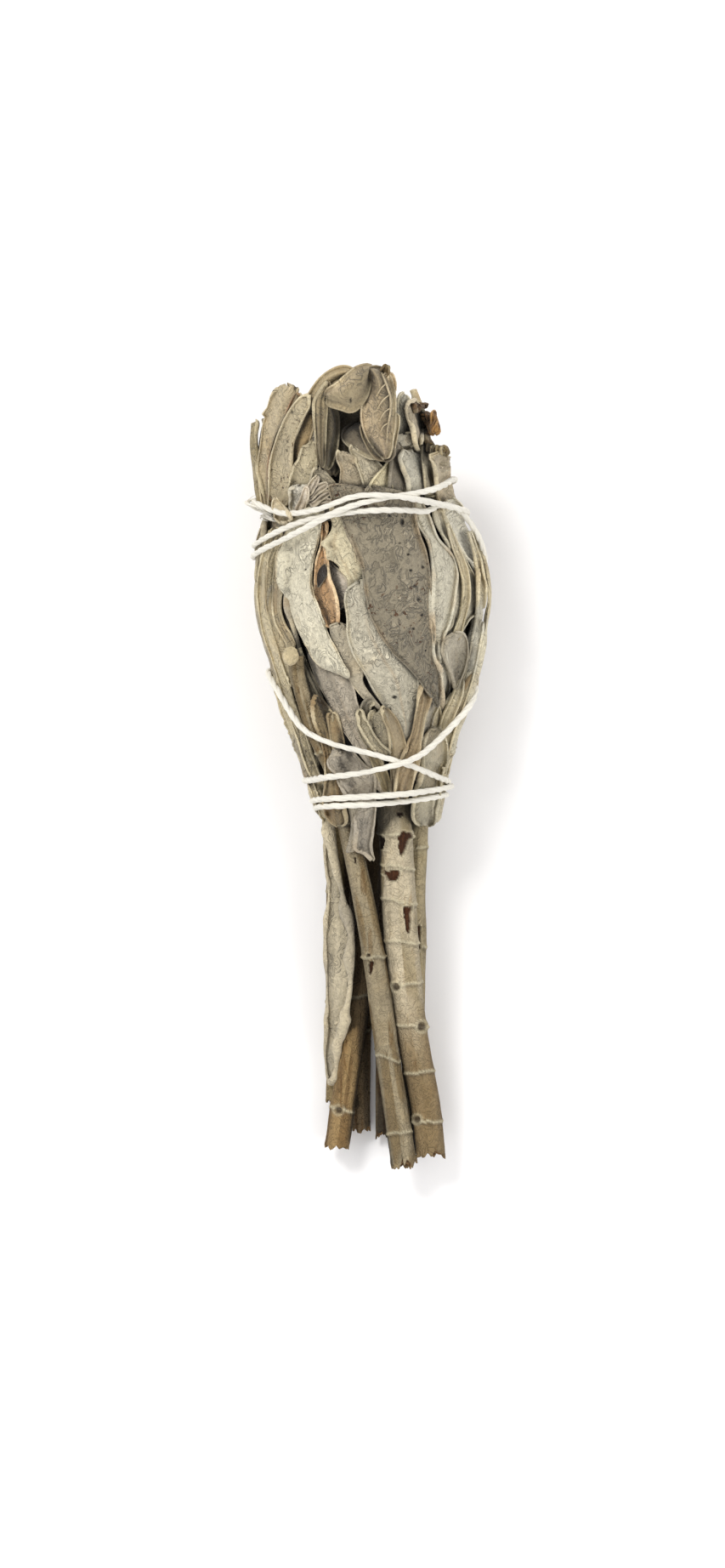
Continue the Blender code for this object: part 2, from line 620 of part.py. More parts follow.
def clearance(relief, angle, y, radius):
    """Heights at which balls of the given radius clear the relief, at arrays of places."""
    turn = np.linspace(0, 2 * np.pi, 12, endpoint=False)[:, None]
    off = radius * np.linspace(0, 1, 4)[None]
    angle, y = angle[..., None, None], y[..., None, None]
    below = relief.at(angle + off * np.cos(turn) / (half_width(y) + 2), y + off * np.sin(turn))
    return np.max(below + np.sqrt(radius**2 - off**2), axis=(-1, -2))


def taut_heights(relief, places, radius):
    """Heights of a line's points, raised until no point between them touches the relief."""
    heights = clearance(relief, places[:, 0], places[:, 1], radius) + TWINE_GAP
    share = np.linspace(0, 1, 9)
    weight = share**2 + (1 - share) ** 2
    for _ in range(12):
        points = on_bunch(places[:, 0], places[:, 1], heights)
        fine = points[:-1, None] * (1 - share)[:, None] + points[1:, None] * share[:, None]
        angle, y, height = from_bunch(fine)
        short = np.maximum(clearance(relief, angle, y, radius) + TWINE_GAP - height, 0) / weight
        lift = np.zeros_like(heights)
        lift[:-1] = np.max(short * (1 - share), axis=1)
        lift[1:] = np.maximum(lift[1:], np.max(short * share, axis=1))
        heights = heights + lift
    return heights


def build_crossing_stem(relief, home):
    """The stem that crosses over its neighbour and runs up the bunch's left side under the twine."""
    low, high = CROSSING_RADII
    path = np.array(CROSSING_LAID, float)
    path[:, 0] = np.radians(path[:, 0])
    places = smooth_curve(np.linspace(0, len(path) - 1, 9), np.arange(len(path)), path)
    laid = on_bunch(places[:, 0], places[:, 1], taut_heights(relief, places, 0.85 * low))
    centre = np.concatenate([np.array(CROSSING_FREE, float), laid])
    Stem("stem_crossing", high, low, "stem_bark", centre[::-1], CROSSING_SCARS).build(relief, home)


def build_twine(relief, home):
    """The twine, laid a quarter turn at a time, so that a later turn passes over an earlier one."""
    route = np.array(TWINE_ROUTE, float)
    turns = (route[0, 0] - route[-1, 0]) / 360
    swept = np.linspace(route[0, 0], route[-1, 0], int(turns * TWINE_STEPS) + 1)
    places = np.stack([np.radians(swept), smooth_curve(-swept, -route[:, 0], route[:, 1])], axis=-1)
    heights = np.full(len(places), -20.0)
    quarter = TWINE_STEPS // 4
    for start in range(0, len(places) - 1, quarter):
        done = max(start - quarter, 0)
        if done:
            piece = slice(max(done - quarter, 0), done + 1)
            points = on_bunch(places[piece, 0], places[piece, 1], heights[piece])
            lay_tube(relief, points, np.full(len(points), TWINE_RADIUS))
        here = slice(start, start + quarter + 1)
        heights[here] = np.maximum(heights[here], taut_heights(relief, places[here], TWINE_RADIUS))
    points = on_bunch(places[:, 0], places[:, 1], heights)
    return baked(tube_object("twine", points, np.full(len(points), TWINE_RADIUS), "cotton", home), "cotton")


def main():
    clear_scene()
    home = collection("sage_bunch")
    relief = Relief()
    build_heart(home)
    for stem in STEMS:
        stem.build(relief, home)
    for leaf in back_leaves() + list(UNDER_LEAVES):
        leaf.build(relief, home)
    build_crossing_stem(relief, home)
    for leaf in OVER_LEAVES:
        leaf.build(relief, home)
    RESTING_LEAF.build(relief, home)
    build_twine(relief, home)


main()
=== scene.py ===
"""Looks for the dried white sage bunch: felted leaves, woody stems and cotton twine.

Lengths are millimetres until a mesh is written. A place on the bunch is an angle round it (0 straight
up, positive towards +X), a length y along it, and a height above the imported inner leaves. The outline
of a leaf is a row of stations across it, each with a left and a right end, read off the photograph in
pixels, and the leaf is then draped over whatever already lies under it.
"""

import math

import bpy
import numpy as np
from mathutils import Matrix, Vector


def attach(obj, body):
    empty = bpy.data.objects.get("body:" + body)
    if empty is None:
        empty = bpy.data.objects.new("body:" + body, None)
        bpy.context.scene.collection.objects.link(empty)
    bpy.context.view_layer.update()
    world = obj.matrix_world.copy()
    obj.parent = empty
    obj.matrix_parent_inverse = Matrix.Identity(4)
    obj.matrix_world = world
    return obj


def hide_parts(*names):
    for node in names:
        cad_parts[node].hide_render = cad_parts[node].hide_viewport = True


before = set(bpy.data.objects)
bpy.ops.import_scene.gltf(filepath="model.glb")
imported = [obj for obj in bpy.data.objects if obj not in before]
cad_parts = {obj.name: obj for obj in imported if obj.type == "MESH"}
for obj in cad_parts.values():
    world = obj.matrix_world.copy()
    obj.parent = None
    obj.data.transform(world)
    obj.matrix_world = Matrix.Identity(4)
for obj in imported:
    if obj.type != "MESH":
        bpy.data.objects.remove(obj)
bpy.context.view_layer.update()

MM = 0.001
# Millimetres in a pixel of the photograph, and the pixel where x and y are 0.
PIXEL = 0.18125
PHOTO_AXIS = (440.0, 904.0)
# From that place to the origin of the frame.
ORIGIN_SHIFT = np.array([1.6, 0.6, 0.0])
# Height of the heart over its width, height of its axis at y = 0, and the rise of the axis along y.
FLATTENING = 0.84
AXIS_HEIGHT = 19.2
AXIS_RISE = 0.16

# Stations along the bunch: y, sideways place of its axis, half width of the heart there, and the
# height that a leaf has there when nothing lies under it.
BODY = np.array(
    [
        (-95, 1.4, 9.0, -3.0),
        (-40, 1.0, 9.0, -3.0),
        (-12, 0.8, 9.8, -0.6),
        (-7, 0.9, 10.4, 1.3),
        (0, 0.8, 11.6, 1.2),
        (10, 0.6, 14.0, 0.4),
        (20, 0.3, 16.8, 0.0),
        (30, -0.1, 18.9, 0.0),
        (38, -0.4, 19.5, 0.0),
        (50, -1.8, 18.3, 0.0),
        (60, -3.8, 16.4, 0.8),
        (72, -6.2, 15.2, 2.0),
        (95, -9.4, 13.4, 3.0),
    ],
    float,
)


def linear(red, green, blue):
    """Linear colour of an sRGB one given from 0 to 255."""
    return tuple(((c / 255 + 0.055) / 1.055) ** 2.4 for c in (red, green, blue))


def smooth_curve(t, knots, values):
    """Cubic pieces through values at knots, whose slopes there are the central differences."""
    knots = np.asarray(knots, float)
    values = np.asarray(values, float)
    slopes = np.gradient(values, knots, axis=0)
    t = np.clip(np.asarray(t, float), knots[0], knots[-1])
    k = np.clip(np.searchsorted(knots, t, side="right") - 1, 0, len(knots) - 2)
    span = knots[k + 1] - knots[k]
    s = (t - knots[k]) / span
    if values.ndim > 1:
        s = s[..., None]
        span = span[..., None]
    start = values[k] * (2 * s**3 - 3 * s**2 + 1) + slopes[k] * span * (s**3 - 2 * s**2 + s)
    end = values[k + 1] * (3 * s**2 - 2 * s**3) + slopes[k + 1] * span * (s**3 - s**2)
    return start + end


def axis_x(y):
    """Sideways place of the bunch's axis at y."""
    return smooth_curve(y, BODY[:, 0], BODY[:, 1])


def axis_z(y):
    """Height of the bunch's axis at y, on a straight line that rises towards the tips."""
    return AXIS_HEIGHT + AXIS_RISE * np.asarray(y, float)


def half_width(y):
    """Half width of the heart at y."""
    return smooth_curve(y, BODY[:, 0], BODY[:, 2])


def on_bunch(angle, y, height):
    """Point at an angle round the bunch, at y along it, at a height above the heart."""
    a = half_width(y)
    x = axis_x(y) + (a + height) * np.sin(angle)
    z = axis_z(y) + (FLATTENING * a + height) * np.cos(angle)
    return np.stack([x, np.broadcast_to(y, x.shape), z], axis=-1)


def from_bunch(points):
    """Angle, y and height of points: the inverse of on_bunch, by four rounds of correction."""
    y = points[..., 1]
    a = half_width(y)
    across = points[..., 0] - axis_x(y)
    up = points[..., 2] - axis_z(y)
    height = np.zeros_like(y)
    for _ in range(4):
        angle = np.arctan2(across * (FLATTENING * a + height), up * (a + height))
        reach = across * np.sin(angle) + up * np.cos(angle)
        height = reach - a * (np.sin(angle) ** 2 + FLATTENING * np.cos(angle) ** 2)
        height = np.maximum(height, 0.5 - FLATTENING * a)
    return angle, y, height


def ease(low, high, value):
    """0 below low, 1 above high, and a smooth step between."""
    s = np.clip((value - low) / (high - low), 0, 1)
    return s * s * (3 - 2 * s)


def grain(x, y, seed):
    """Smooth noise from -1 to 1: random values on a unit lattice, eased between its corners."""
    ix, iy = np.floor(x).astype(np.int64), np.floor(y).astype(np.int64)
    fx, fy = x - ix, y - iy
    fx, fy = fx * fx * (3 - 2 * fx), fy * fy * (3 - 2 * fy)

    def corner(i, j):
        h = (i * 374761393 + j * 668265263 + seed * 1442695041) & 0xFFFFFFFF
        h = ((h ^ (h >> 13)) * 1274126177) & 0xFFFFFFFF
        return ((h ^ (h >> 16)) & 0xFFFF) / 32767.5 - 1

    low = corner(ix, iy) * (1 - fx) + corner(ix + 1, iy) * fx
    high = corner(ix, iy + 1) * (1 - fx) + corner(ix + 1, iy + 1) * fx
    return low * (1 - fy) + high * fy


def rough_grain(x, y, seed, octaves=3):
    """Octaves of grain, each twice as fine and half as strong."""
    total = 0.0
    for k in range(octaves):
        total = total + grain(x * 2**k, y * 2**k, seed + 31 * k) / 2**k
    return total / 1.6


def narrowing(angle):
    """How far the heart is drawn in at an angle, so that the layers on its sides keep to the outline."""
    return 2.3 * np.sin(angle) ** 2


# The bunch's outline seen from above: y, left x and right x.
OUTLINE = np.array(
    [
        (-30, -16, 18), (-12, -14.5, 15.5), (-6.5, -14.2, 15.4), (-3, -15.2, 15.8), (0.7, -16.6, 16.2),
        (4.4, -17.8, 18), (8, -19, 18.6), (11.6, -20.2, 20), (15, -20.8, 21), (19, -22.8, 22.2),
        (22.5, -23.2, 23.2), (26, -24.4, 23.9), (30, -25.5, 24.1), (33, -26, 24.8), (37, -26.3, 25.1),
        (40.6, -26.2, 24.9), (44, -25.8, 24.3), (48, -25.7, 22.9), (51.5, -25.9, 21.8), (55, -26.2, 20.4),
        (62, -26.8, 17.6), (73, -27.2, 13.8), (85, -27, 12),
    ],
    float,
)


def held_in(height, angle, y, soft=1.6):
    """Heights eased so that no place goes out past the outline, with the order of the layers kept."""
    sine = np.sin(angle)
    left, right = (smooth_curve(y, OUTLINE[:, 0], OUTLINE[:, k]) for k in (1, 2))
    side = np.where(sine > 0, right, -left)
    reach = (side - np.sign(sine) * axis_x(y)) / np.maximum(np.abs(sine), 0.35) - half_width(y)
    over = np.maximum(height - (reach - soft), 0)
    return np.where(over > 0, reach - soft * np.exp(-over / soft), height)


def blurred(grid, reaches):
    """The grid averaged with itself moved both ways by each reach in turn, along both its directions."""
    for reach in reaches:
        for axis in (0, 1):
            grid = (grid + np.roll(grid, reach, axis) + np.roll(grid, -reach, axis)) / 3
    return grid


def circle_angles(count):
    """Angles of count points round a circle."""
    return np.linspace(0, 2 * np.pi, count, endpoint=False)


def all_pairs(first, second):
    """Two grids: the first values down the rows, and the second along the columns."""
    return np.meshgrid(first, second, indexing="ij")


class Relief:
    """Height of what has been laid on the bunch so far, on a grid of angle and length."""

    ANGLES = 480
    STEP = 0.25
    LOW_Y = -95.0
    ROWS = 760

    def __init__(self):
        y = self.LOW_Y + self.STEP * np.arange(self.ROWS)
        turn = circle_angles(self.ANGLES)
        start = smooth_curve(y, BODY[:, 0], BODY[:, 3])
        self.height = start[None] - narrowing(turn)[:, None] * ease(-12, 4, y)[None]

    def cells(self, angle, y):
        """Columns and rows of the grid at places on the bunch."""
        column = np.round(angle / (2 * np.pi) * self.ANGLES).astype(int) % self.ANGLES
        row = np.clip(np.round((y - self.LOW_Y) / self.STEP).astype(int), 0, self.ROWS - 1)
        return column, row

    def at(self, angle, y):
        """Heights of the relief at places on the bunch."""
        return self.height[self.cells(angle, y)]

    def lay(self, points, spread=1):
        """Raises the relief to the given points, and to the same height in the cells round each."""
        angle, y, height = from_bunch(points)
        column, row = self.cells(angle, y)
        for dc in range(-spread, spread + 1):
            for dr in range(-spread, spread + 1):
                place = ((column + dc) % self.ANGLES, np.clip(row + dr, 0, self.ROWS - 1))
                np.maximum.at(self.height, place, height)

    def angle_in_plan(self, x, y, raise_by):
        """Angle at which a sheet raised over the relief first reaches x, going out from the top.

        Also the share, from 0 to 1, by which that place lies inside the outline. Past the outline, x is
        measured on round it.
        """
        soft = blurred(self.height, (1, 2))
        row = self.cells(0 * y, y)[1]
        reach_x = x - axis_x(y)
        away = np.arange(self.ANGLES // 4 + 12)
        turn = away * 2 * np.pi / self.ANGLES
        result = np.zeros_like(x)
        inside = np.zeros_like(x)
        for sign in (1, -1):
            near = self.LOW_Y + self.STEP * np.arange(self.ROWS)
            angle = sign * turn[:, None] + 0 * near[None]
            height = held_in(soft[(sign * away) % self.ANGLES] + raise_by, angle, near[None] + 0 * angle)
            out = np.maximum.accumulate((half_width(near)[None] + height) * np.sin(turn)[:, None], axis=0)
            side = sign * reach_x >= 0
            target = np.abs(reach_x[side])
            columns = out[:, row[side]]
            place = np.clip((columns < target).sum(axis=0), 1, len(away) - 1)
            low = np.take_along_axis(columns, place[None] - 1, 0)[0]
            high = np.take_along_axis(columns, place[None], 0)[0]
            part = np.clip((target - low) / np.maximum(high - low, 1e-6), 0, 1)
            most = columns[-1]
            past = np.maximum(target - most, 0)
            widest = np.argmax(columns >= most - 0.02, axis=0) * turn[1]
            found = np.where(past > 0, widest + 1.2 * past / most, (place - 1 + part) * turn[1])
            result[side] = sign * found
            inside[side] = ease(0, 1.2, most - target)
        return result, inside


relief = Relief()


# Meshes and materials.


# Pieces whose tints get painted shade and highlight at the end: mesh, points and tint.
painted = []
# Share of its colour that a piece loses at most to painted shade where it lies deep.
DARKEST_GAP_SHADE = 0.76


def paint_gap_shade():
    """Paints shade into each piece where it lies lower than what is round it, and paints highlights
    on its standing edges.

    The surroundings are two blurred copies of the finished relief, about 1 mm and 3 mm wide.
    """
    near = blurred(relief.height, (1, 2, 1))
    wide = blurred(near, (3, 6, 3))
    for mesh, points, tint in painted:
        angle, y, height = from_bunch(points)
        cell = relief.cells(angle, y)
        # Painted shade where the piece lies below its surroundings, and a painted highlight where it stands
        # above them.
        below = ease(0.1, 1.3, near[cell] - height) * 0.62 + ease(0.3, 3.0, wide[cell] - height) * 0.3
        below = np.minimum(below, DARKEST_GAP_SHADE)
        above = ease(0.15, 0.9, height - near[cell]) * 0.2
        shaded = tint * (1 - below + above)[:, None]
        colours = np.concatenate([shaded, np.ones((len(shaded), 1))], axis=1)
        mesh.attributes["tint"].data.foreach_set("color", colours.ravel())


def add_piece(name, vertices, faces, tint, marks, uv, look, nodes=()):
    """A mesh piece in metres with its tint and mark attributes and its UV map, ready to ride."""
    vertices, tint, marks = (np.reshape(values, (-1, 3)) for values in (vertices, tint, marks))
    mesh = bpy.data.meshes.new(name)
    mesh.from_pydata((vertices + ORIGIN_SHIFT) * MM, [], faces)
    mesh.update()
    for label, values in (("tint", tint), ("marks", marks)):
        layer = mesh.attributes.new(label, "FLOAT_COLOR", "POINT")
        layer.data.foreach_set("color", np.concatenate([values, np.ones((len(values), 1))], axis=1).ravel())
    corners = np.zeros(len(mesh.loops), int)
    mesh.loops.foreach_get("vertex_index", corners)
    mesh.uv_layers.new(name="UVMap").data.foreach_set("uv", np.reshape(uv, (-1, 2))[corners].ravel())
    mesh.shade_smooth()
    piece = bpy.data.objects.new(name, mesh)
    bpy.context.scene.collection.objects.link(piece)
    mesh.materials.append(look)
    if look is not COTTON:
        painted.append((mesh, vertices, tint))
    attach(piece, "root")
    if nodes:
        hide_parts(*nodes)
    return piece


def grid_faces(rows, columns, start=0, closed=False):
    """Quads of a grid of rows by columns of points; closed joins the last column to the first."""
    index = start + np.arange(rows * columns).reshape(rows, columns)
    following = np.roll(index, -1, axis=1) if closed else index[:, 1:]
    here = index if closed else index[:, :-1]
    quads = np.stack([here[:-1], following[:-1], following[1:], here[1:]], axis=-1)
    return quads.reshape(-1, 4).tolist()


def blend(colour, other, share):
    """A grid of colours moved towards another colour by shares from 0 to 1."""
    share = share[..., None]
    return colour * (1 - share) + np.array(other) * share


class Link:
    """A socket in a shader, with Python operators that add Math nodes."""

    def __init__(self, tree, socket):
        self.tree = tree
        self.socket = socket

    def node(self, kind, settings=(), **inputs):
        """Adds any node: settings first, then the values or links of its sockets by name or index."""
        made = self.tree.nodes.new(kind)
        for key, value in dict(settings).items():
            setattr(made, key, value)
        for key, value in inputs.items():
            numbered = key[0] == "i" and key[1:].isdigit()
            socket = made.inputs[int(key[1:]) if numbered else key.replace("_", " ")]
            if isinstance(value, Link):
                self.tree.links.new(value.socket, socket)
            else:
                socket.default_value = value
        return made

    def out(self, made, name=0):
        """Link to an output of a node by name or index."""
        return Link(self.tree, made.outputs[name])

    def math(self, operation, *values):
        """Link to a Math node of the given operation on the values."""
        inputs = {f"i{k}": value for k, value in enumerate(values)}
        return self.out(self.node("ShaderNodeMath", {"operation": operation}, **inputs))

    def __add__(self, other):
        return self.math("ADD", self, other)

    def __radd__(self, other):
        return self.math("ADD", other, self)

    def __sub__(self, other):
        return self.math("SUBTRACT", self, other)

    def __rsub__(self, other):
        return self.math("SUBTRACT", other, self)

    def __mul__(self, other):
        return self.math("MULTIPLY", self, other)

    def __rmul__(self, other):
        return self.math("MULTIPLY", other, self)

    def band(self, middle, sharpness):
        """1 where this value is at the middle, falling to 0 on both sides: 1 - sharpness * |off|."""
        off = self - middle
        return off.math("MAXIMUM", 1 - off.math("ABSOLUTE", off) * sharpness, 0.0)

    def step(self, low, high):
        """Smooth step of this value from low to high."""
        made = self.node("ShaderNodeMapRange", {"interpolation_type": "SMOOTHSTEP"}, Value=self)
        made.inputs["From Min"].default_value = low
        made.inputs["From Max"].default_value = high
        return self.out(made)

    def mix(self, first, second):
        """Colour between two by this factor."""
        made = self.node("ShaderNodeMix", {"data_type": "RGBA"}, i0=self)
        for key, value in ((6, first), (7, second)):
            if isinstance(value, Link):
                self.tree.links.new(value.socket, made.inputs[key])
            else:
                made.inputs[key].default_value = (*value, 1)
        return self.out(made, 2)

    def scaled(self, factor):
        """A vector times a number or another vector."""
        made = self.node("ShaderNodeVectorMath", {"operation": "MULTIPLY"}, i0=self)
        made.inputs[1].default_value = factor if isinstance(factor, tuple) else (factor,) * 3
        return self.out(made)

    def tinted(self, factor):
        """A colour times a number that varies."""
        made = self.node("ShaderNodeVectorMath", {"operation": "SCALE"}, i0=self)
        self.tree.links.new(factor.socket, made.inputs["Scale"])
        return self.out(made)

    def noise(self, scale, detail=2.0, rough=0.5, warp=0.0):
        """Smooth noise at these coordinates, from 0 to 1."""
        made = self.node("ShaderNodeTexNoise", {}, Vector=self, Scale=scale, Detail=detail, Roughness=rough,
                         Distortion=warp)
        return self.out(made, "Fac")

    def cells(self, scale):
        """Distance to the nearest of the points scattered over these coordinates."""
        made = self.node("ShaderNodeTexVoronoi", {"feature": "F1"}, Vector=self, Scale=scale)
        return self.out(made, "Distance")


def new_look(name):
    """An empty material: its Principled shader, and a link to its Object coordinates."""
    look = bpy.data.materials.new(name)
    look.use_nodes = True
    tree = look.node_tree
    shader = tree.nodes["Principled BSDF"]
    coords = Link(tree, tree.nodes.new("ShaderNodeTexCoord").outputs["Object"])
    return look, tree, shader, coords


def attribute(coords, name):
    """A colour attribute of the mesh."""
    made = coords.node("ShaderNodeAttribute", {"attribute_name": name})
    return coords.out(made, "Color")


def channels(link):
    """The three channels of a colour."""
    made = link.node("ShaderNodeSeparateColor", {}, Color=link)
    return [link.out(made, k) for k in range(3)]


def plug(tree, shader, colour, roughness, height, distance, strength=1.0):
    """Joins colour, roughness and a bump of the given height in metres to the shader."""
    tree.links.new(colour.socket, shader.inputs["Base Color"])
    tree.links.new(roughness.socket, shader.inputs["Roughness"])
    bump = tree.nodes.new("ShaderNodeBump")
    bump.inputs["Strength"].default_value = strength
    bump.inputs["Distance"].default_value = distance
    tree.links.new(height.socket, bump.inputs["Height"])
    tree.links.new(bump.outputs["Normal"], shader.inputs["Normal"])


def leaf_look():
    """Felted dry leaf: the piece's tint, mottled, with wormlike wrinkles whose ridges are paler, brown
    specks, and painted shade in the creases of the wrinkles and in the pinholes.

    The marks attribute holds the amount of specks, the strength of the wrinkles, and nearness to the edge.
    """
    look, tree, shader, coords = new_look("felted_leaf")
    specks, wrinkles, _ = channels(attribute(coords, "marks"))
    bent = coords.scaled((1.0, 0.8, 1.0))
    worm = bent.noise(430, 1.5, 0.5, 1.6)
    ridge = worm.band(0.5, 16.0) * coords.noise(260, 1.0).step(0.42, 0.56)
    crease = worm.band(0.44, 14.0)
    felt = coords.noise(4200, 2.0, 0.7)
    weave = coords.noise(1500, 2.0, 0.6)
    cloud = coords.noise(140, 3.0, 0.6)
    patch = coords.noise(42, 2.0, 0.5)
    light = 0.78 + cloud * 0.36 + patch * 0.26 + (felt - 0.5) * 0.8 + (weave - 0.5) * 0.75
    # Painted shade darkens the creases of the wrinkles; the ridges are painted paler.
    light = light * (1 - crease * wrinkles * 0.15) * (1 + ridge * wrinkles * 0.32)
    tint = attribute(coords, "tint").tinted(light)
    warm = coords.noise(75, 3.0, 0.65).step(0.55, 0.75) * 0.4
    tint = warm.mix(tint, tint.scaled((1.0, 0.87, 0.68)))
    spot = coords.noise(900, 2.0, 0.6, 0.8).step(0.62, 0.66) * coords.noise(60, 1.0).step(0.42, 0.54) * specks
    tint = spot.mix(tint, linear(84, 58, 36))
    # Painted shade: the pinholes near black, as the shade seen inside them.
    pin = coords.cells(260).step(0.075, 0.045) * coords.noise(45, 1.0).step(0.47, 0.57) * specks
    tint = pin.mix(tint, linear(16, 12, 8))
    height = ridge * 0.7 * wrinkles - crease * 0.15 * wrinkles + felt * 0.45 + weave * 0.7 + cloud - pin * 2.0
    plug(tree, shader, tint, 0.78 + cloud * 0.14, height, 0.00042, 1.0)
    shader.inputs["Specular IOR Level"].default_value = 0.25
    shader.inputs["Sheen Weight"].default_value = 0.12
    shader.inputs["Sheen Roughness"].default_value = 0.6
    return look


def bark_look():
    """Papery bark: the piece's tint streaked along the stem, with fine fibres, cracks and stains.

    The marks attribute holds the strength of the fibres and, last, where the wood is bare.
    """
    look, tree, shader, coords = new_look("papery_bark")
    _, fibres, bare = channels(attribute(coords, "marks"))
    drawn = coords.scaled((1.0, 0.13, 1.0))
    fibre = drawn.noise(2600, 3.0, 0.65)
    streak = drawn.noise(700, 2.0, 0.55, 0.4)
    ridge = coords.noise(480, 2.0, 0.5, 1.4).band(0.5, 15.0)
    stain = coords.noise(210, 3.0, 0.6)
    felt = coords.noise(4800, 2.0, 0.7)
    light = 0.42 + fibre * 0.36 + streak * 0.36 + stain * 0.4 + (felt - 0.5) * 0.7 + ridge * 0.2
    tint = attribute(coords, "tint").tinted(light)
    olive = stain.step(0.52, 0.7) * 0.35
    tint = olive.mix(tint, tint.scaled((0.84, 0.77, 0.64)))
    dark = streak.step(0.62, 0.72) * fibres * 0.55
    tint = dark.mix(tint, tint.scaled((0.62, 0.52, 0.4)))
    height = fibre * (0.5 + bare) + streak * 0.7 + felt * 0.4 - dark * 0.5 + ridge * 0.4 + stain
    plug(tree, shader, tint, 0.72 + stain * 0.16, height, 0.0007, 1.0)
    shader.inputs["Specular IOR Level"].default_value = 0.3
    return look


def cotton_look():
    """Soft cotton twine: pale, with fine fibres that follow the plies along the UV map."""
    look, tree, shader, coords = new_look("cotton_twine")
    along = Link(tree, coords.socket.node.outputs["UV"])
    fibre = along.scaled((60.0, 9.0, 1.0)).noise(5.0, 3.0, 0.6, 0.5)
    fluff = coords.noise(3600, 3.0, 0.7)
    tint = attribute(coords, "tint").tinted(0.84 + fibre * 0.2 + fluff * 0.12)
    plug(tree, shader, tint, 0.86 + fluff * 0.1, fibre * 0.8 + fluff * 0.6, 0.00015, 0.8)
    shader.inputs["Sheen Weight"].default_value = 0.3
    shader.inputs["Specular IOR Level"].default_value = 0.2
    return look


LEAF = leaf_look()
BARK = bark_look()
COTTON = cotton_look()

PALE = linear(196, 188, 164)
PALE_WARM = linear(188, 176, 146)
GREY = linear(158, 149, 130)
OLIVE = linear(128, 114, 82)
SILVER = linear(190, 185, 168)
# Painted shade: the dark seen through holes in the leaves.
DEEP = linear(52, 42, 30)
RIM = linear(206, 194, 162)
RIM_TAN = linear(166, 142, 108)
# Painted shade: the dark of the heart where it shows between the leaves.
CORE = linear(44, 34, 23)


# Leaves.


def smoothed(sheet, rounds):
    """The sheet with each node at the mean of its neighbours, some rounds over."""
    for _ in range(rounds):
        padded = np.pad(sheet, 1, mode="edge")
        sheet = (padded[:-2, 1:-1] + padded[2:, 1:-1] + padded[1:-1, :-2] + padded[1:-1, 2:]) / 4
    return sheet


def taut(ground, form, rounds):
    """A sheet pulled taut over the ground: again and again smoothed, and lifted back above it."""
    sheet = ground
    for _ in range(rounds):
        sheet = np.maximum(ground, smoothed(sheet, 2))
    sheet = smoothed(sheet, 3) + form
    return np.maximum(sheet, ground)


def unit(vectors):
    """The vectors at length 1."""
    return vectors / np.maximum(np.linalg.norm(vectors, axis=-1, keepdims=True), 1e-9)


def outer_normals(grid):
    """Unit normals of a grid of points, turned away from the bunch's axis."""
    normal = unit(np.cross(np.gradient(grid, axis=0), np.gradient(grid, axis=1)))
    middle = np.stack([axis_x(grid[..., 1]), grid[..., 1], axis_z(grid[..., 1])], axis=-1)
    return normal * np.sign(np.sum((grid - middle) * normal))


def rolled(grid, normal, radius, turn, first):
    """Columns that carry an edge on in a small circle of the given radius, up or, below 0, down."""
    edge, inner = (grid[0], grid[1]) if first else (grid[-1], grid[-2])
    lift = normal[0] if first else normal[-1]
    side = unit(edge - inner)
    columns = []
    for theta in np.linspace(0, turn, 7)[1:]:
        out = np.sin(theta) * side + np.sign(radius)[:, None] * (1 - np.cos(theta)) * lift
        columns.append(edge + np.abs(radius)[:, None] * out)
    return np.array(columns[::-1] if first else columns)


def add_rolls(grid, normal, u, v, radii, turn):
    """The grid with a roll at each edge that has radii, and with u and v carried on over the rolls."""
    parts = [[grid], [u], [v]]
    for first, radius in zip((True, False), radii):
        if radius is None:
            continue
        columns = rolled(grid, normal, radius, turn, first)
        beyond = np.broadcast_to(-1.05 if first else 1.05, columns.shape[:2])
        for part, piece in zip(parts, (columns, beyond, v[:len(columns)])):
            part.insert(0 if first else len(part), piece)
    return [np.concatenate(part) for part in parts]


def facing_out(grid, faces, normal, middle):
    """The faces of a grid, turned round if they face against the normal at its middle."""
    corner, ahead, _, beside = grid.reshape(-1, 3)[np.array(faces[len(faces) // 2])]
    if np.dot(np.cross(ahead - corner, beside - corner), normal[middle]) < 0:
        return [face[::-1] for face in faces]
    return faces


def in_plan(rows):
    """Stations in pixels of the photograph as millimetres: left x and y, right x and y."""
    rows = np.array(rows, float)
    return (rows - np.tile(PHOTO_AXIS, 2)) * np.tile((PIXEL, -PIXEL), 2)


# Size of a mesh cell on a leaf, and the browns of its stains and its midrib.
CELL = 0.42
STAIN = linear(140, 112, 74)
MIDRIB = linear(178, 150, 112)


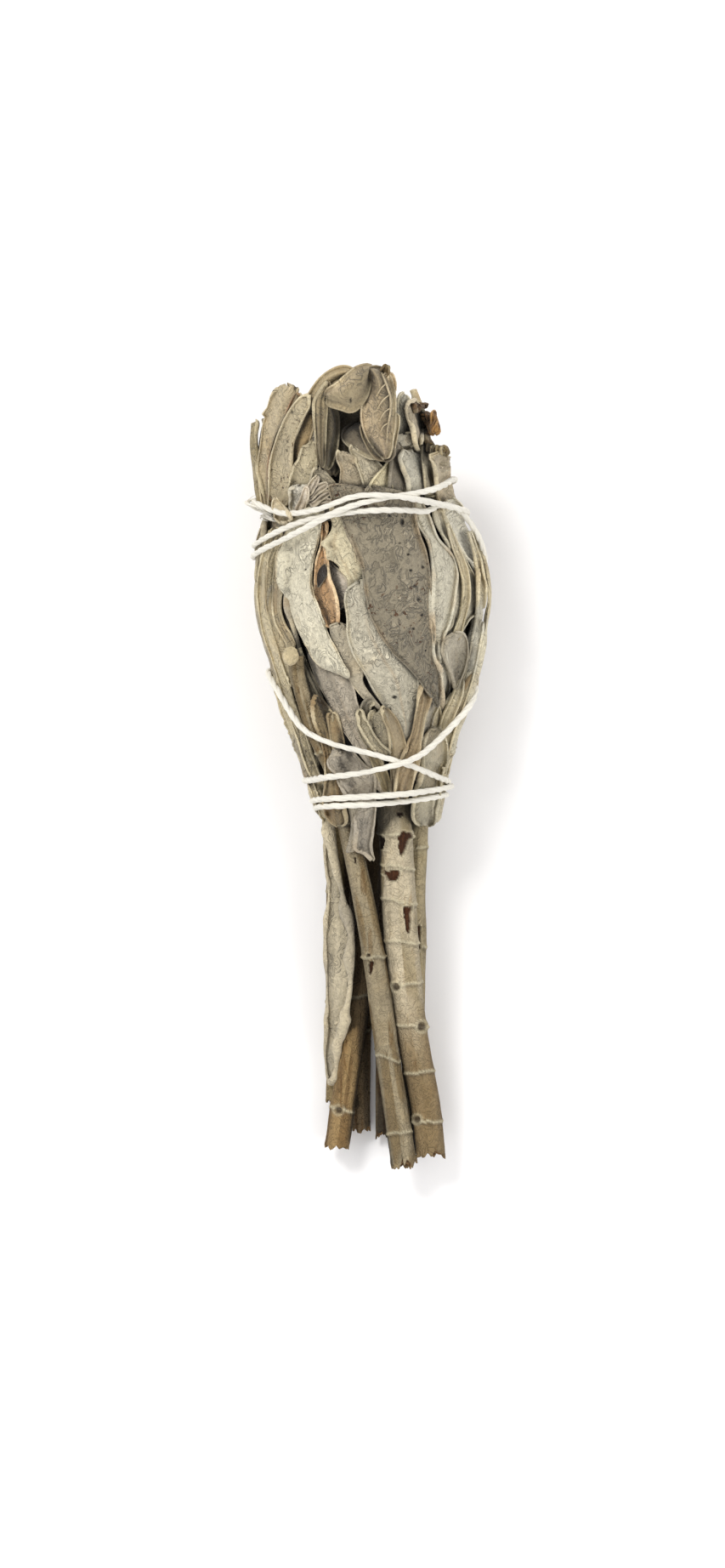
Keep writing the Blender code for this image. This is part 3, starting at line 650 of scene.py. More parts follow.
def blade(name, rows, tint, nodes=(), crown=0.5, fold=0.0, rolls=(0.2, 0.2), turn=3.4, wave=0.3, torn=0.0,
          tip=0.1, base=0.08, ragged=0.0, rib=0.0, specks=0.3, wrinkles=1.0, rim=RIM, lift=0.0, thick=0.4,
          heights=None, around=None, slot_name="sage_pale", curl=0.0, second=None, gap=0.3, stain=0.0,
          pleats=0, pleat=0.5, levels=None, shade=0.0, tip_shade=0.0, dots=(), fine=CELL):
    """One leaf, draped. Across it u runs from -1 to 1 and along it v from 0 to 1.

    The sheet is the relief pulled taut, plus crown * (1 - u^2) for its arch, fold * (1 - |u|)^1.3 for its
    crease, waves, lengthwise pleats as |sin|, and curl times a squared step for a tip that turns up. torn
    cuts its end back by rough noise, ragged its sides, tip and base are the lengths of its rounded ends,
    and each edge goes on in a small roll. around gives stations as (degrees, y) pairs instead of pixels.
    levels gives each station's left and right height above the floor, for a leaf that stands free and
    isn't draped, and heights the least height of a draped one above the heart, from base to tip.

    shade is painted shade that darkens it towards its base, and dusk painted shade that darkens it towards
    its tip. second is a colour that it turns to in patches, and stain the strength of brown patches. Each
    dot is a small hole in pixels, pressed in and painted near black as the shade seen through it: (x, y,
    half width, half length). fine is the size of a cell of the mesh.
    """

    def pleated(u, v):
        """Pleats side by side as |sin|, which drift sideways along the leaf."""
        drift = 0.35 * grain(v * long / 16, 0 * v, seed + 23)
        return np.abs(np.sin(np.pi * pleats * ((u + 1) / 2 + drift)))

    seed = sum(ord(letter) * (k + 1) for k, letter in enumerate(name)) % 9973
    stations = np.array(around, float) if around is not None else in_plan(rows)
    middles = (stations[:, :2] + stations[:, 2:]) / 2
    reach = 0.4 if around is not None else 1.0
    steps = np.hypot(np.diff(middles[:, 0]) * reach, np.diff(middles[:, 1]))
    knots = np.concatenate([[0], np.cumsum(steps)]) / steps.sum()
    long = steps.sum()
    wide = np.max(np.hypot((stations[:, 2] - stations[:, 0]) * reach, stations[:, 3] - stations[:, 1]))
    across = int(np.clip(wide / fine, 10, 90)) + 1
    along = int(np.clip(long / fine, 30, 240)) + 1
    u, v = all_pairs(np.linspace(-1, 1, across), np.linspace(0, 1, along))
    jag = 0.9 + rough_grain(2.2 * u * wide / 4, 0 * u, seed, 5) + 0.5 * grain(u * wide, 0 * u, seed + 7)
    place = v * (1 - torn / long * jag)
    ends = smooth_curve(place, knots, stations)
    narrow = np.sqrt(np.clip(1 - np.clip((base - v) / base, 0, 0.97) ** 2, 0, 1))
    narrow = narrow * np.sqrt(np.clip(1 - np.clip((v - 1 + tip) / tip, 0, 0.985) ** 2, 0, 1))
    bitten = 0.5 + 0.5 * rough_grain(0.5 * v * long, np.sign(u), seed + 3, 4)
    narrow = narrow * (1 - ragged * bitten * np.abs(u))
    narrow = narrow * (1 + 0.03 * grain(0.16 * v * long, np.sign(u), seed + 5))
    share = (u * narrow + 1) / 2
    first = ends[..., 0] * (1 - share) + ends[..., 2] * share
    y = ends[..., 1] * (1 - share) + ends[..., 3] * share
    form = crown * (1 - u * u) * narrow + fold * (1 - np.abs(u)) ** 1.3
    form = form + wave * rough_grain(u * wide / 7 + 9, v * long / 9, seed + 1, 2)
    form = form + 0.5 * wave * np.abs(u) ** 3 * (1 + grain(0.3 * v * long, np.sign(u), seed + 2))
    form = form + 0.13 * wrinkles * rough_grain(u * wide * 0.45, v * long * 0.35, seed + 21, 2)
    form = form + lift + curl * ease(0.72, 1.0, v) ** 2
    if pleats:
        form = form + pleat * narrow * pleated(u, v)
    if levels is not None:
        side = smooth_curve(place, knots, np.array(levels, float))
        grid = np.stack([first, y, side[..., 0] * (1 - share) + side[..., 1] * share + form], axis=-1)
    else:
        form = form - np.min(form) * 0.7
        if around is not None:
            angle, inside = np.radians(first), 0
        else:
            angle, inside = relief.angle_in_plan(first, y, gap + thick + float(np.mean(form)))
            angle = smoothed(angle, 2)
        ground = relief.at(angle, y) + gap + thick
        if heights is not None:
            ground = np.maximum(ground, smooth_curve(v, np.linspace(0, 1, len(heights)), heights))
        sheet = taut(ground, form, int(26 * (CELL / fine) ** 2))
        if around is None:
            sheet = held_in(sheet, angle, y)
        grid = on_bunch(angle, y, sheet)
        grid[..., 0] = inside * first + (1 - inside) * grid[..., 0]
    normal = outer_normals(grid)
    relief.lay(grid)
    size = 0.7 + 0.65 * grain(0.22 * v[0] * long, 0 * v[0], seed + 4)
    radii = [amount * size * (0.35 + 0.65 * narrow[0]) if amount else None for amount in rolls]
    points, u, v = add_rolls(grid, normal, u, v, radii, turn)
    edge = ease(0.86, 1.0, np.abs(u)) * 0.9 + ease(0.97, 1.0, v) * 0.5 * (torn > 0)
    colour = np.array(tint) * (1 + 0.1 * rough_grain(u * wide / 5, v * long / 8, seed + 11))[..., None]
    if second is not None:
        patches = grain(u * wide / 9 + 3, v * long / 13, seed + 13)
        colour = blend(colour, second, ease(-0.2, 0.5, patches + 0.2))
    # Painted shade: every leaf a little darker near its base, and darker still by shade towards the base and
    # towards the tip.
    dim = 1 - 0.16 * ease(0.25, 0.0, v) - shade * ease(0.8, 0.1, v) - tip_shade * ease(0.3, 0.9, v)
    colour = colour * dim[..., None]
    if pleats:
        # Painted shade in the troughs between the pleats, lighter on their crests.
        colour = colour * (0.68 + 0.38 * pleated(u, v) ** 0.6)[..., None]
    if stain:
        patches = rough_grain(u * wide / 3, v * long / 5, seed + 15)
        colour = blend(colour, STAIN, stain * ease(0.1, 0.5, patches))
    line = rib * np.exp(-((u - 0.05 * np.sin(4 * v)) / 0.07) ** 2) * ease(1.0, 0.5, v)
    colour = blend(colour, MIDRIB, line)
    worn = edge * (0.22 + 0.5 * grain(v * long / 3, np.sign(u), seed + 17))
    colour = blend(colour, rim, np.clip(worn, 0, 1))
    # Painted shade: each dot is pressed in and painted near black, as the shade seen through a hole.
    for px, py, half_x, half_y in dots:
        off = np.hypot((points[..., 0] / PIXEL + PHOTO_AXIS[0] - px) / half_x,
                       (PHOTO_AXIS[1] - points[..., 1] / PIXEL - py) / half_y)
        colour = blend(colour, 0.25 * np.array(DEEP), ease(1.3, 0.7, off))
        points[..., 2] -= 0.3 * ease(1.4, 0.6, off)
    marks = np.stack([np.broadcast_to(specks, u.shape), wrinkles * (1 - 0.6 * edge), edge], axis=-1)
    uv = np.stack([u * wide / 2, v * long], axis=-1) * 0.02
    faces = facing_out(points, grid_faces(*points.shape[:2]), normal, (across // 2, along // 2))
    piece = add_piece(name, points, faces, colour, marks, uv, LEAF, nodes)
    wall = piece.modifiers.new("wall", "SOLIDIFY")
    wall.thickness = thick * MM
    wall.offset = -1.0


def leaf(name, rows, tint, **options):
    """The blade that stands for the solid of the same name."""
    blade(name, rows, tint, (f"leaf_{name}",), **options)


def strip(name, line, half, tint, **options):
    """A narrow folded leaf along a line of pixels, base first, with its half width in pixels."""
    line = np.array(line, float)
    knots = np.linspace(0, 1, len(line))
    middle = smooth_curve(np.linspace(0, 1, 2 * len(line)), knots, line)
    ahead = unit(np.gradient(middle, axis=0))
    side = half * np.interp(np.linspace(0, 1, len(middle)), (0, 0.2, 0.7, 1), (0.55, 1, 0.95, 0.4))[:, None]
    beside = side * np.stack([ahead[:, 1], -ahead[:, 0]], axis=-1)
    left, right = middle + beside, middle - beside
    ordered = left[:, :1] < right[:, :1]
    rows = np.concatenate([np.where(ordered, left, right), np.where(ordered, right, left)], axis=1)
    blade(name, rows, tint, **{"crown": 0.8, "fold": 0.4, "tip": 0.2, "specks": 0.2, **options})


def round_leaf(name, path, half, tint, nodes=(), **options):
    """A leaf laid round the bunch from its midrib's path, as (degrees, y), and its half width."""
    path = np.array(path, float)
    v = np.linspace(0, 1, 9)
    knots = np.linspace(0, 1, len(path))
    middle = smooth_curve(v, knots, path)
    width = half * np.interp(v, (0, 0.25, 0.6, 0.85, 1), (0.35, 0.75, 1.0, 0.8, 0.45))
    ahead = np.gradient(middle, axis=0)
    reach = np.radians(1) * (half_width(middle[:, 1]) + 3)
    run, rise = ahead[:, 0] * reach, ahead[:, 1]
    size = np.hypot(run, rise)
    beside = np.stack([width * rise / size / reach, -width * run / size], axis=-1)
    around = np.concatenate([middle - beside, middle + beside], axis=1)
    blade(name, None, tint, nodes, around=around, **options)


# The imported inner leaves.


def heart():
    """The heart: a closed tube of pleats along the bunch whose rings shrink to a point at both ends."""
    rings, rounds, pleats = 150, 300, 17
    low, length = -6.0, 62.0
    v, turn = all_pairs(np.linspace(0, 1, rings), circle_angles(rounds))
    y = low + length * np.clip((v - 0.04) / 0.92, 0, 1)
    pleat = (turn * pleats / (2 * np.pi) + 0.05 * y + 0.25 * grain(y / 9, turn * 3, 5)) % 1.0
    height = 1.3 * pleat**1.5 - 1.7 + 0.5 * grain(y / 3, turn * 8, 9) - narrowing(turn)
    closing = np.clip(1 - np.minimum(v, 1 - v) / 0.04, 0, 1)
    height = height - closing * (FLATTENING * half_width(y) - 1.6)
    points = on_bunch(turn, y, height)
    # Painted shade: the heart is dark as the deep shade seen in the gaps between the leaves, and painted
    # lighter on the crest of each pleat.
    colour = np.array(CORE) * (0.6 + 0.9 * pleat**3)[..., None]
    marks = np.stack([0 * y, 0 * y + 0.8, 0 * y], axis=-1)
    uv = np.stack([turn, v], axis=-1)
    faces = [face[::-1] for face in grid_faces(rings, rounds, closed=True)]
    last = (rings - 1) * rounds
    faces += [list(range(rounds)), list(range(last + rounds - 1, last - 1, -1))]
    add_piece("packed_heart", points, faces, colour, marks, uv, LEAF, ("leaf_heart",))


def inner_leaves():
    """Leaves in the bunch's head, standing in the hollow below the outer ones, with painted shade that
    grows as they stand deeper.
    """
    chance = np.random.default_rng(7)
    count, low = 20, 42
    for k in range(count):
        angle = -95 + 190 * (k + 0.5) / count + 8 * chance.uniform(-1, 1)
        depth = -2.2 - 3.5 * (k % 3)
        top = 66 + 7 * chance.uniform(-1, 1) - 3 * (k % 3)
        path = [(angle + 4 * s * math.sin(k), low + (top - low) * s) for s in (0, 0.3, 0.65, 1)]
        # Painted shade: each deeper row of these leaves painted darker.
        shade = np.array(linear(112, 98, 72)) * (1 - 0.22 * (k % 3))
        round_leaf(f"inner_leaf_{k}", path, 3.2, shade, specks=0, crown=1.4, wave=0.6, lift=depth - 0.5,
                   slot_name="sage_grey", ragged=0.2, torn=1.5, tip=0.2, turn=2.6)


# Stems.


# Rings of a cut end: share of the stem's radius, depth of the ring, and its sRGB colour.
CUT_END = ((0.86, 0.05, (150, 122, 84)), (0.8, 0.7, (92, 64, 38)), (0.55, 0.55, (150, 116, 74)),
           (0.25, 0.75, (126, 94, 58)), (0.04, 0.8, (96, 68, 42)))
PALE_LIP = linear(206, 196, 166)
BARE_WOOD = linear(76, 44, 22)
KNOT = linear(66, 54, 40)


def stem(name, node, path, radii, tint, scars=(), holes=(), knots=(), fibre=1.0, foot=1.6,
         shade=None, low_tint=None):
    """A stem from its foot to its top: rings of a circle whose radius has fibres, scars and torn holes.

    Each scar is a lip of bark round the stem, (y, tilt, height); each hole is (x, y, half width, half
    length, lean) in the bark on the side seen from above, and bares brown wood; each knot is (x, y, radius).
    """
    seed = sum(map(ord, name))
    path = np.array(path, float)[::-1]
    rows = int((path[-1, 1] - path[0, 1]) / 0.32)
    around = 84
    y, turn = all_pairs(np.linspace(path[0, 1], path[-1, 1], rows), circle_angles(around))
    middle = smooth_curve(y, path[:, 1], path)
    radius = np.interp(y, (path[0, 1], path[-1, 1]), radii)
    x_rel = np.sin(turn) * radius
    up = np.cos(turn)
    rise = 0.10 * rough_grain(turn * 5.1, y / 14, seed) + 0.22 * grain(turn * 1.2, y / 9, seed + 1)
    rise = rise + 0.05 * fibre * rough_grain(turn * 14, y / 7, seed + 2)
    colour = np.array(tint) * (1 + 0.12 * rough_grain(turn * 2.5, y / 8, seed + 3))[..., None]
    if shade is not None:
        colour = blend(colour, shade, ease(0.0, 0.5, grain(turn * 1.6, y / 11, seed + 4)))
    # Painted shade: towards its foot the stem turns to the darker low tint.
    if low_tint is not None:
        drift = 6 * grain(turn * 1.1, y / 12, seed + 6)
        colour = blend(colour, low_tint, 0.95 * ease(-36, -68, y + drift))
    # Painted shade: each stem darker down both its sides.
    colour = colour * (1 - 0.3 * ease(0.5, 1.0, np.abs(np.sin(turn))))[..., None]
    bare = np.zeros_like(y)
    for k, (place, tilt, size) in enumerate(scars):
        line = y - place - tilt * x_rel - 0.25 * grain(turn * 2.2, 0 * y, seed + 5 + k)
        rise = rise + size * np.exp(-np.abs(line / 0.32) ** 2)
        rise = rise + 0.5 * size * ease(2.4, 0.0, line) * ease(-0.05, 0.0, line)
        colour = blend(colour, PALE_LIP, 0.75 * np.exp(-((line - 0.05) / 0.3) ** 2))
        # Painted shadow: a dark band just below each lip.
        colour = colour * (1 - 0.35 * np.exp(-((line + 0.5) / 0.35) ** 2))[..., None]
    for k, (hx, hy, wide, long, lean) in enumerate(holes):
        along = (y - hy) / long
        across = middle[..., 0] + x_rel - hx - lean * (y - hy)
        across = across / (wide * (0.8 + 0.4 * np.clip(along, -1, 1)))
        edge = (np.abs(across) ** 3 + np.abs(along) ** 3) ** (1 / 3)
        edge = edge + 0.34 * rough_grain(x_rel * 1.1, y * 0.9, seed + 19 + k, 4)
        inside = ease(1.0, 0.86, edge) * (up > 0)
        lip = np.exp(-((edge - 1.08) / 0.1) ** 2) * (up > 0)
        rise = rise - 0.55 * inside + 0.22 * lip
        mottle = 0.8 + 0.5 * rough_grain(x_rel * 4, y / 3, seed + 23)
        colour = blend(colour, np.array(BARE_WOOD) * mottle[..., None], inside)
        colour = blend(colour, PALE_LIP, 0.7 * lip)
        bare = np.maximum(bare, inside)
    for kx, ky, size in knots:
        off = np.hypot(middle[..., 0] + x_rel - kx, y - ky)
        inside = ease(size, 0.6 * size, off) * (up > 0)
        lip = np.exp(-((off - 1.15 * size) / (0.35 * size)) ** 2) * (up > 0)
        rise = rise - 0.35 * inside + 0.3 * lip
        colour = blend(colour, KNOT, 0.85 * inside)
        colour = blend(colour, PALE_LIP, 0.4 * lip)
    low = path[0, 1]
    jag = foot * (0.5 + 0.9 * rough_grain(turn * 2.4, 0 * y, seed + 29, 4))
    y = y + ease(low + 3.0, low, y) * (jag - 0.3 * foot)
    end = ease(low + 2.2, low + 0.2, y)
    rise = rise + 0.12 * end * grain(turn * 6, y, seed + 31)
    outward = np.stack([np.sin(turn), 0 * turn, np.cos(turn)], axis=-1)
    points = np.stack([middle[..., 0], y, middle[..., 2]], axis=-1) + outward * (radius + rise)[..., None]
    points[..., 2] = np.maximum(points[..., 2], 0.02)
    relief.lay(points[(y > low + 1)[:, 0]])
    # The cut end: the bark turns in, then the wood, drawn in rings to the pith.
    caps = []
    shades = []
    for share, depth, tone in CUT_END:
        ring = middle[0, :, :] * (1 - share) + points[0] * share
        ring[:, 1] = points[0, :, 1] * share + (low + 0.3) * (1 - share) + depth
        ring[:, 2] = np.maximum(ring[:, 2], 0.03)
        caps.insert(0, ring)
        mottle = 0.9 + 0.2 * grain(turn[0] * 7, turn[0] * 0, seed + 37)
        shades.insert(0, np.array(linear(*tone)) * mottle[:, None])
    points = np.concatenate([np.array(caps), points])
    colour = np.concatenate([np.array(shades), colour])
    bare = np.concatenate([np.ones((len(CUT_END), around)), bare])
    marks = np.stack([0 * bare, 0 * bare + fibre, bare], axis=-1)
    count = points.shape[0]
    uv = np.stack(all_pairs(np.arange(count) / count, np.arange(around) / around), axis=-1)
    faces = [face[::-1] for face in grid_faces(count, around, closed=True)]
    last = (count - 1) * around
    faces += [list(range(around)), list(range(last + around - 1, last - 1, -1))]
    add_piece(name, points, faces, colour, marks, uv, BARK, (node,))


def at_photo(px, py):
    """Millimetres across and along the bunch of a pixel of the photograph."""
    return (px - PHOTO_AXIS[0]) * PIXEL, (PHOTO_AXIS[1] - py) * PIXEL


def in_bark(px, py, wide, long, lean=0.0):
    """A hole in the bark given in pixels: its centre, half width and half length, and its lean."""
    x, y = at_photo(px, py)
    return x, y, wide * PIXEL, long * PIXEL, lean


def bud_scar(px, py, radius):
    """A knot in the bark given in pixels."""
    x, y = at_photo(px, py)
    return x, y, radius * PIXEL


BARK_PALE = linear(190, 177, 150)
BARK_LOW = linear(158, 144, 114)
BARK_BROWN = linear(150, 124, 84)
BARK_DARK = linear(96, 74, 46)


def stems():
    """The stems below the neck, from the thick one in front to the two that are mostly hidden."""
    stem(
        "thick_stem", "stem_thick",
        (
            (3.6, 3, 21.6), (4.4, -10, 20.6), (5.6, -33, 17.2), (8.0, -55, 12.6), (11.4, -76, 8.6),
            (12.0, -83, 7.6),
        ), (3.3, 3.8), BARK_PALE,
        scars=(
            (-14.2, -0.10, 0.42), (-20.9, -0.14, 0.2), (-28.3, -0.16, 0.26), (-37.0, -0.1, 0.26),
            (-46.0, 0.12, 0.24), (-55.0, -0.08, 0.24), (-65.0, 0.1, 0.24), (-75.6, 0.06, 0.2),
        ),
        holes=(
            in_bark(448, 991, 6, 8), in_bark(475, 992, 8, 14, 0.12), in_bark(461, 1030, 11, 7, -0.25),
            in_bark(480, 1081, 5, 16, -0.05), in_bark(471, 958.5, 5, 2.4),
        ), knots=(bud_scar(466, 1161, 5.5), bud_scar(496, 1208, 6), bud_scar(491, 1318, 5)), shade=BARK_LOW,
        low_tint=linear(126, 106, 74),
    )
    stem(
        "brown_stem", "stem_brown",
        (
            (-0.8, 3, 16.2), (-0.6, -12, 15.0), (-1.2, -30, 11.9), (-3.0, -48, 9.3), (-5.6, -66, 6.9),
            (-7.9, -81, 5.4),
        ), (2.7, 2.2), BARK_BROWN, scars=((-48.8, 0.1, 0.25), (-73.0, -0.2, 0.16)),
        knots=(bud_scar(398.6, 1307, 5),), fibre=1.6, shade=linear(118, 94, 60),
    )
    stem(
        "back_stem", "stem_back", ((2.6, 3, 11.4), (2.4, -12, 10.2), (2.4, -45, 5.4), (2.6, -79, 2.35)),
        (2.3, 2.0), linear(128, 112, 88), scars=((-35.0, 0.1, 0.2), (-60.0, 0.1, 0.2)),
        shade=BARK_DARK, fibre=1.5,
    )
    stem(
        "right_stem", "stem_right",
        ((8.6, 3, 15.6), (9.4, -10, 14.4), (8.9, -26, 11.2), (8.6, -50, 6.8), (8.4, -80, 2.4)), (2.4, 2.3),
        linear(170, 156, 124), scars=((-17.0, 0.1, 0.3), (-38.0, -0.1, 0.2), (-60.0, 0.1, 0.2)),
        shade=BARK_LOW, holes=(in_bark(494, 1102, 2.2, 15),),
    )
    stem(
        "left_stem", "stem_left",
        ((-7.0, 2, 15.8), (-7.8, -12, 14.4), (-8.4, -30, 10.4), (-8.6, -50, 5.8), (-8.4, -72, 1.7)),
        (1.7, 1.9), linear(146, 128, 92), scars=((-26.0, 0.1, 0.2), (-50.0, 0.1, 0.2)),
    )
    stem(
        "low_stem", "stem_low", ((-3.2, 3, 11.0), (-3.6, -12, 9.6), (-2.8, -45, 4.2), (-2.6, -77.8, 2.0)),
        (2.0, 1.8), linear(120, 102, 76), scars=((-30.0, 0.1, 0.2), (-56.0, 0.1, 0.2)),
        shade=BARK_DARK,
    )


CROSSING_FREE = ((6.4, -85, 9.3), (3.6, -65, 12.8), (0.3, -43, 16.6), (-2.6, -26, 19.8), (-4.9, -15, 22.2))
CROSSING_LAID = ((-33, -9), (-38, -3), (-45, 4), (-50, 11), (-53, 18), (-55, 24))


def clearance(angle, y, radius):
    """Heights at which balls of the given radius clear the relief, at arrays of places."""
    turn = circle_angles(12)[:, None]
    off = radius * np.linspace(0, 1, 4)[None]
    angle, y = angle[..., None, None], y[..., None, None]
    below = relief.at(angle + off * np.cos(turn) / (half_width(y) + 2), y + off * np.sin(turn))
    return np.max(below + np.sqrt(radius**2 - off**2), axis=(-1, -2))


def crossing_stem():
    """The stem that crosses over its neighbour and runs up the bunch's left side under the twine."""
    path = np.array(CROSSING_LAID, float)
    path[:, 0] = np.radians(path[:, 0])
    places = smooth_curve(np.linspace(0, len(path) - 1, 9), np.arange(len(path)), path)
    height = clearance(places[:, 0], places[:, 1], 1.9) + 0.3
    height = np.maximum(height, np.convolve(np.pad(height, 1, mode="edge"), np.ones(3) / 3, "valid"))
    centre = np.concatenate([np.array(CROSSING_FREE, float), on_bunch(places[:, 0], places[:, 1], height)])
    stem(
        "crossing_stem", "stem_crossing", centre[::-1], (2.8, 1.7), linear(162, 148, 120),
        scars=(
            (-62.0, -0.3, 0.12), (-40.3, 0.05, 0.35), (-11.6, 0.1, 0.4), (3.4, 0.1, 0.3), (-78.0, 0.1, 0.2),
        ),
        holes=(
            in_bark(407, 1041, 2.4, 8, -0.3), in_bark(436, 1139, 3.2, 8, 0.1), in_bark(418, 1012, 1.6, 4),
        ), knots=(bud_scar(434, 1124, 2.8),), fibre=1.5, shade=linear(134, 116, 84), foot=2.2,
    )


# Twine.

# Degrees round the bunch, counted on from turn to turn, and y along it.
TWINE_ROUTE = (
    (180, -4), (90, -2.7), (40, -0.5), (0, 2.8), (-50, 8.5), (-90, 20), (-180, 12.5), (-228, 22),
    (-270, 52.7), (-320, 54.6), (-360, 54.6), (-400, 52.3), (-450, 47.5), (-540, 53.5), (-630, 61.6),
    (-675, 59.0), (-720, 56.2), (-758, 50.7), (-785, 47.5), (-810, 45.3), (-900, 50), (-990, 54.7),
    (-1044, 57.0), (-1080, 57.8), (-1105, 55.0), (-1130, 54.2), (-1170, 56.9), (-1215, 52), (-1260, 46),
    (-1305, 34), (-1350, 15.6), (-1380, 8), (-1400, 4.2), (-1440, -0.2), (-1485, -2.1), (-1530, -2.6),
    (-1620, -3), (-1710, -3.9), (-1800, -5.8), (-1890, -6.9), (-1980, -5.8), (-2070, -5.6), (-2160, -7.5),
    (-2250, -8.6), (-2340, -9.8),
)
TWINE_STEP = 2.5
TWINE_RADIUS = 0.62
PLY_RADIUS = 0.43
PLY_OFFSET = 0.25
PLY_PITCH = 8.4


def twine():
    """Three plies, each a tube of circles round a helix, laid a quarter turn at a time on the relief."""
    route = np.array(TWINE_ROUTE, float)
    count = int((route[0, 0] - route[-1, 0]) / TWINE_STEP) + 1
    swept = np.linspace(route[0, 0], route[-1, 0], count)
    angle = np.radians(swept)
    y = smooth_curve(-swept, -route[:, 0], route[:, 1])
    height = np.full(count, -20.0)
    quarter = int(90 / TWINE_STEP)
    for start in range(0, count - 1, quarter):
        done = slice(max(start - 2 * quarter, 0), max(start - quarter, 0) + 1)
        if start > quarter:
            laid = on_bunch(angle[done], y[done], height[done])
            ring = np.linspace(0, 2 * np.pi, 16)
            circle = TWINE_RADIUS * np.stack([np.cos(ring), 0 * ring, np.sin(ring)], axis=-1)
            fine = np.concatenate([laid[:-1] * (1 - s) + laid[1:] * s for s in (0, 0.25, 0.5, 0.75)])
            relief.lay(fine[:, None] + circle)
        here = slice(start, start + quarter + 1)
        height[here] = np.maximum(height[here], clearance(angle[here], y[here], TWINE_RADIUS) + 0.02)
    ground = height
    for _ in range(60):
        padded = np.pad(height, 1, mode="edge")
        height = np.maximum(ground, (padded[:-2] + padded[2:]) / 2)
    height = np.convolve(np.pad(height, 2, mode="edge"), (0.1, 0.25, 0.3, 0.25, 0.1), "valid")
    knots = on_bunch(angle, y, height)
    steps = np.concatenate([[0], np.cumsum(np.linalg.norm(np.diff(knots, axis=0), axis=1))])
    s = np.linspace(0, steps[-1], int(steps[-1] / CELL))
    centre = np.stack([np.interp(s, steps, knots[:, k]) for k in range(3)], axis=-1)
    forward = unit(np.gradient(centre, axis=0))
    outward = centre - np.stack([axis_x(centre[:, 1]), centre[:, 1], axis_z(centre[:, 1])], axis=-1)
    outward = unit(outward - forward * np.sum(outward * forward, axis=-1, keepdims=True))
    beside = np.cross(forward, outward)
    sides = 9
    ring = circle_angles(sides)
    points, colours, uvs, faces = [], [], [], []
    soft = 1 + 0.14 * grain(s / 14, 0 * s, 3)
    for ply in range(3):
        turn = 2 * np.pi * (s / PLY_PITCH + ply / 3) + 0.5 * grain(s / 9, 0 * s, 8)
        offset = PLY_OFFSET * soft
        strand = centre + (offset * np.cos(turn))[:, None] * outward
        strand = strand + (offset * np.sin(turn))[:, None] * beside
        radius = PLY_RADIUS * soft * (1 + 0.12 * grain(s / 1.7, 0 * s, 20 + ply))
        radius = radius * np.clip(np.minimum(s, s[-1] - s) / 0.8, 0.2, 1)
        circle = radius[:, None, None] * (np.cos(ring)[None, :, None] * outward[:, None]
                                          + np.sin(ring)[None, :, None] * beside[:, None])
        start = len(s) * sides * ply
        points.append((strand[:, None] + circle).reshape(-1, 3))
        shade = 1 + 0.05 * grain(s / 4, 0 * s, 40 + ply)
        colours.append(np.repeat(np.array(linear(238, 234, 222)) * shade[:, None], sides, axis=0))
        uvs.append(np.stack(all_pairs(s * 0.02, ring / 6.3), axis=-1).reshape(-1, 2))
        faces += grid_faces(len(s), sides, start, closed=True)
        last = start + (len(s) - 1) * sides
        faces += [list(range(start + sides - 1, start - 1, -1)), list(range(last, last + sides))]
    points = np.concatenate(points)
    add_piece("plied_twine", points, faces, np.concatenate(colours), np.zeros_like(points),
              np.concatenate(uvs), COTTON, ("twine",))


# The leaves of the photograph, from the lowest layer up. Stations go from a leaf's base to its tip.


def back_leaves():
    """Two rows of hidden leaves on the sides and the back: first angle, how many, and their y from and to."""
    colours = (GREY, PALE_WARM)
    slots = ("sage_grey", "sage_pale")
    for row, (first, count, base, top) in enumerate(((112, 5, -4, 66), (96, 6, 4, 77))):
        for k in range(count):
            angle = first + (150 + 32 * row) * k / (count - 1)
            lean = 5 * math.sin(2.3 * k + row)
            end = top + 4 * math.sin(1.9 * k + 2 * row)
            path = [(angle + lean * s, base + (end - base) * s) for s in (0, 0.25, 0.5, 0.75, 1)]
            kind = (k + row) % 2
            round_leaf(
                f"back_leaf_{row}_{k}", path, 7.2, colours[kind], (f"leaf_back_{row}_{k}",),
                slot_name=slots[kind], crown=0.7, wave=0.8, rib=0.6, rolls=(0.4, 0.4), stain=0.5,
                second=colours[1 - k % 2], thick=0.5, torn=1.5 * (k % 2), tip=0.16,
            )


# Narrow leaves, each as a line in pixels from its base and its half width there.
LEFT_STRIPS = (
    (((383, 964), (374, 934), (361, 905), (347, 868), (334, 830), (324, 795), (313, 765), (302, 732),
      (298, 695), (302, 655), (308, 622)), 4.5),
    (((389, 962), (379, 932), (366, 900), (356, 870), (344, 835), (334, 802), (325, 772), (313, 735),
      (309, 700), (312, 660), (319, 625)), 4.0),
    (((345, 806), (339, 784), (331, 757), (321, 728), (317, 695), (320, 660), (328, 632)), 3.6),
    (((404, 886), (394, 868), (384, 842), (374, 816), (363, 790), (353, 762)), 4.4),
    (((398, 888), (385, 866), (375, 838), (364, 810), (352, 782), (343, 762)), 4.0),
)
RIGHT_STRIPS = (
    (((514, 966), (520, 932), (526, 898), (534, 866), (546, 835), (557, 803), (566, 770), (573, 732),
      (576, 692), (571, 652), (562, 625)), 4.2),
    (((509, 962), (515, 928), (521, 892), (530, 856), (541, 828), (551, 797), (558, 766), (564, 730),
      (566, 692), (561, 654), (552, 625)), 4.2),
    (((536, 752), (543, 728), (548, 702), (546, 672), (536, 644), (526, 616)), 2.2),
    (((509, 898), (515, 868), (523, 842), (532, 816)), 4.0),
    (((518, 866), (527, 843), (537, 820), (543, 800)), 3.6),
)
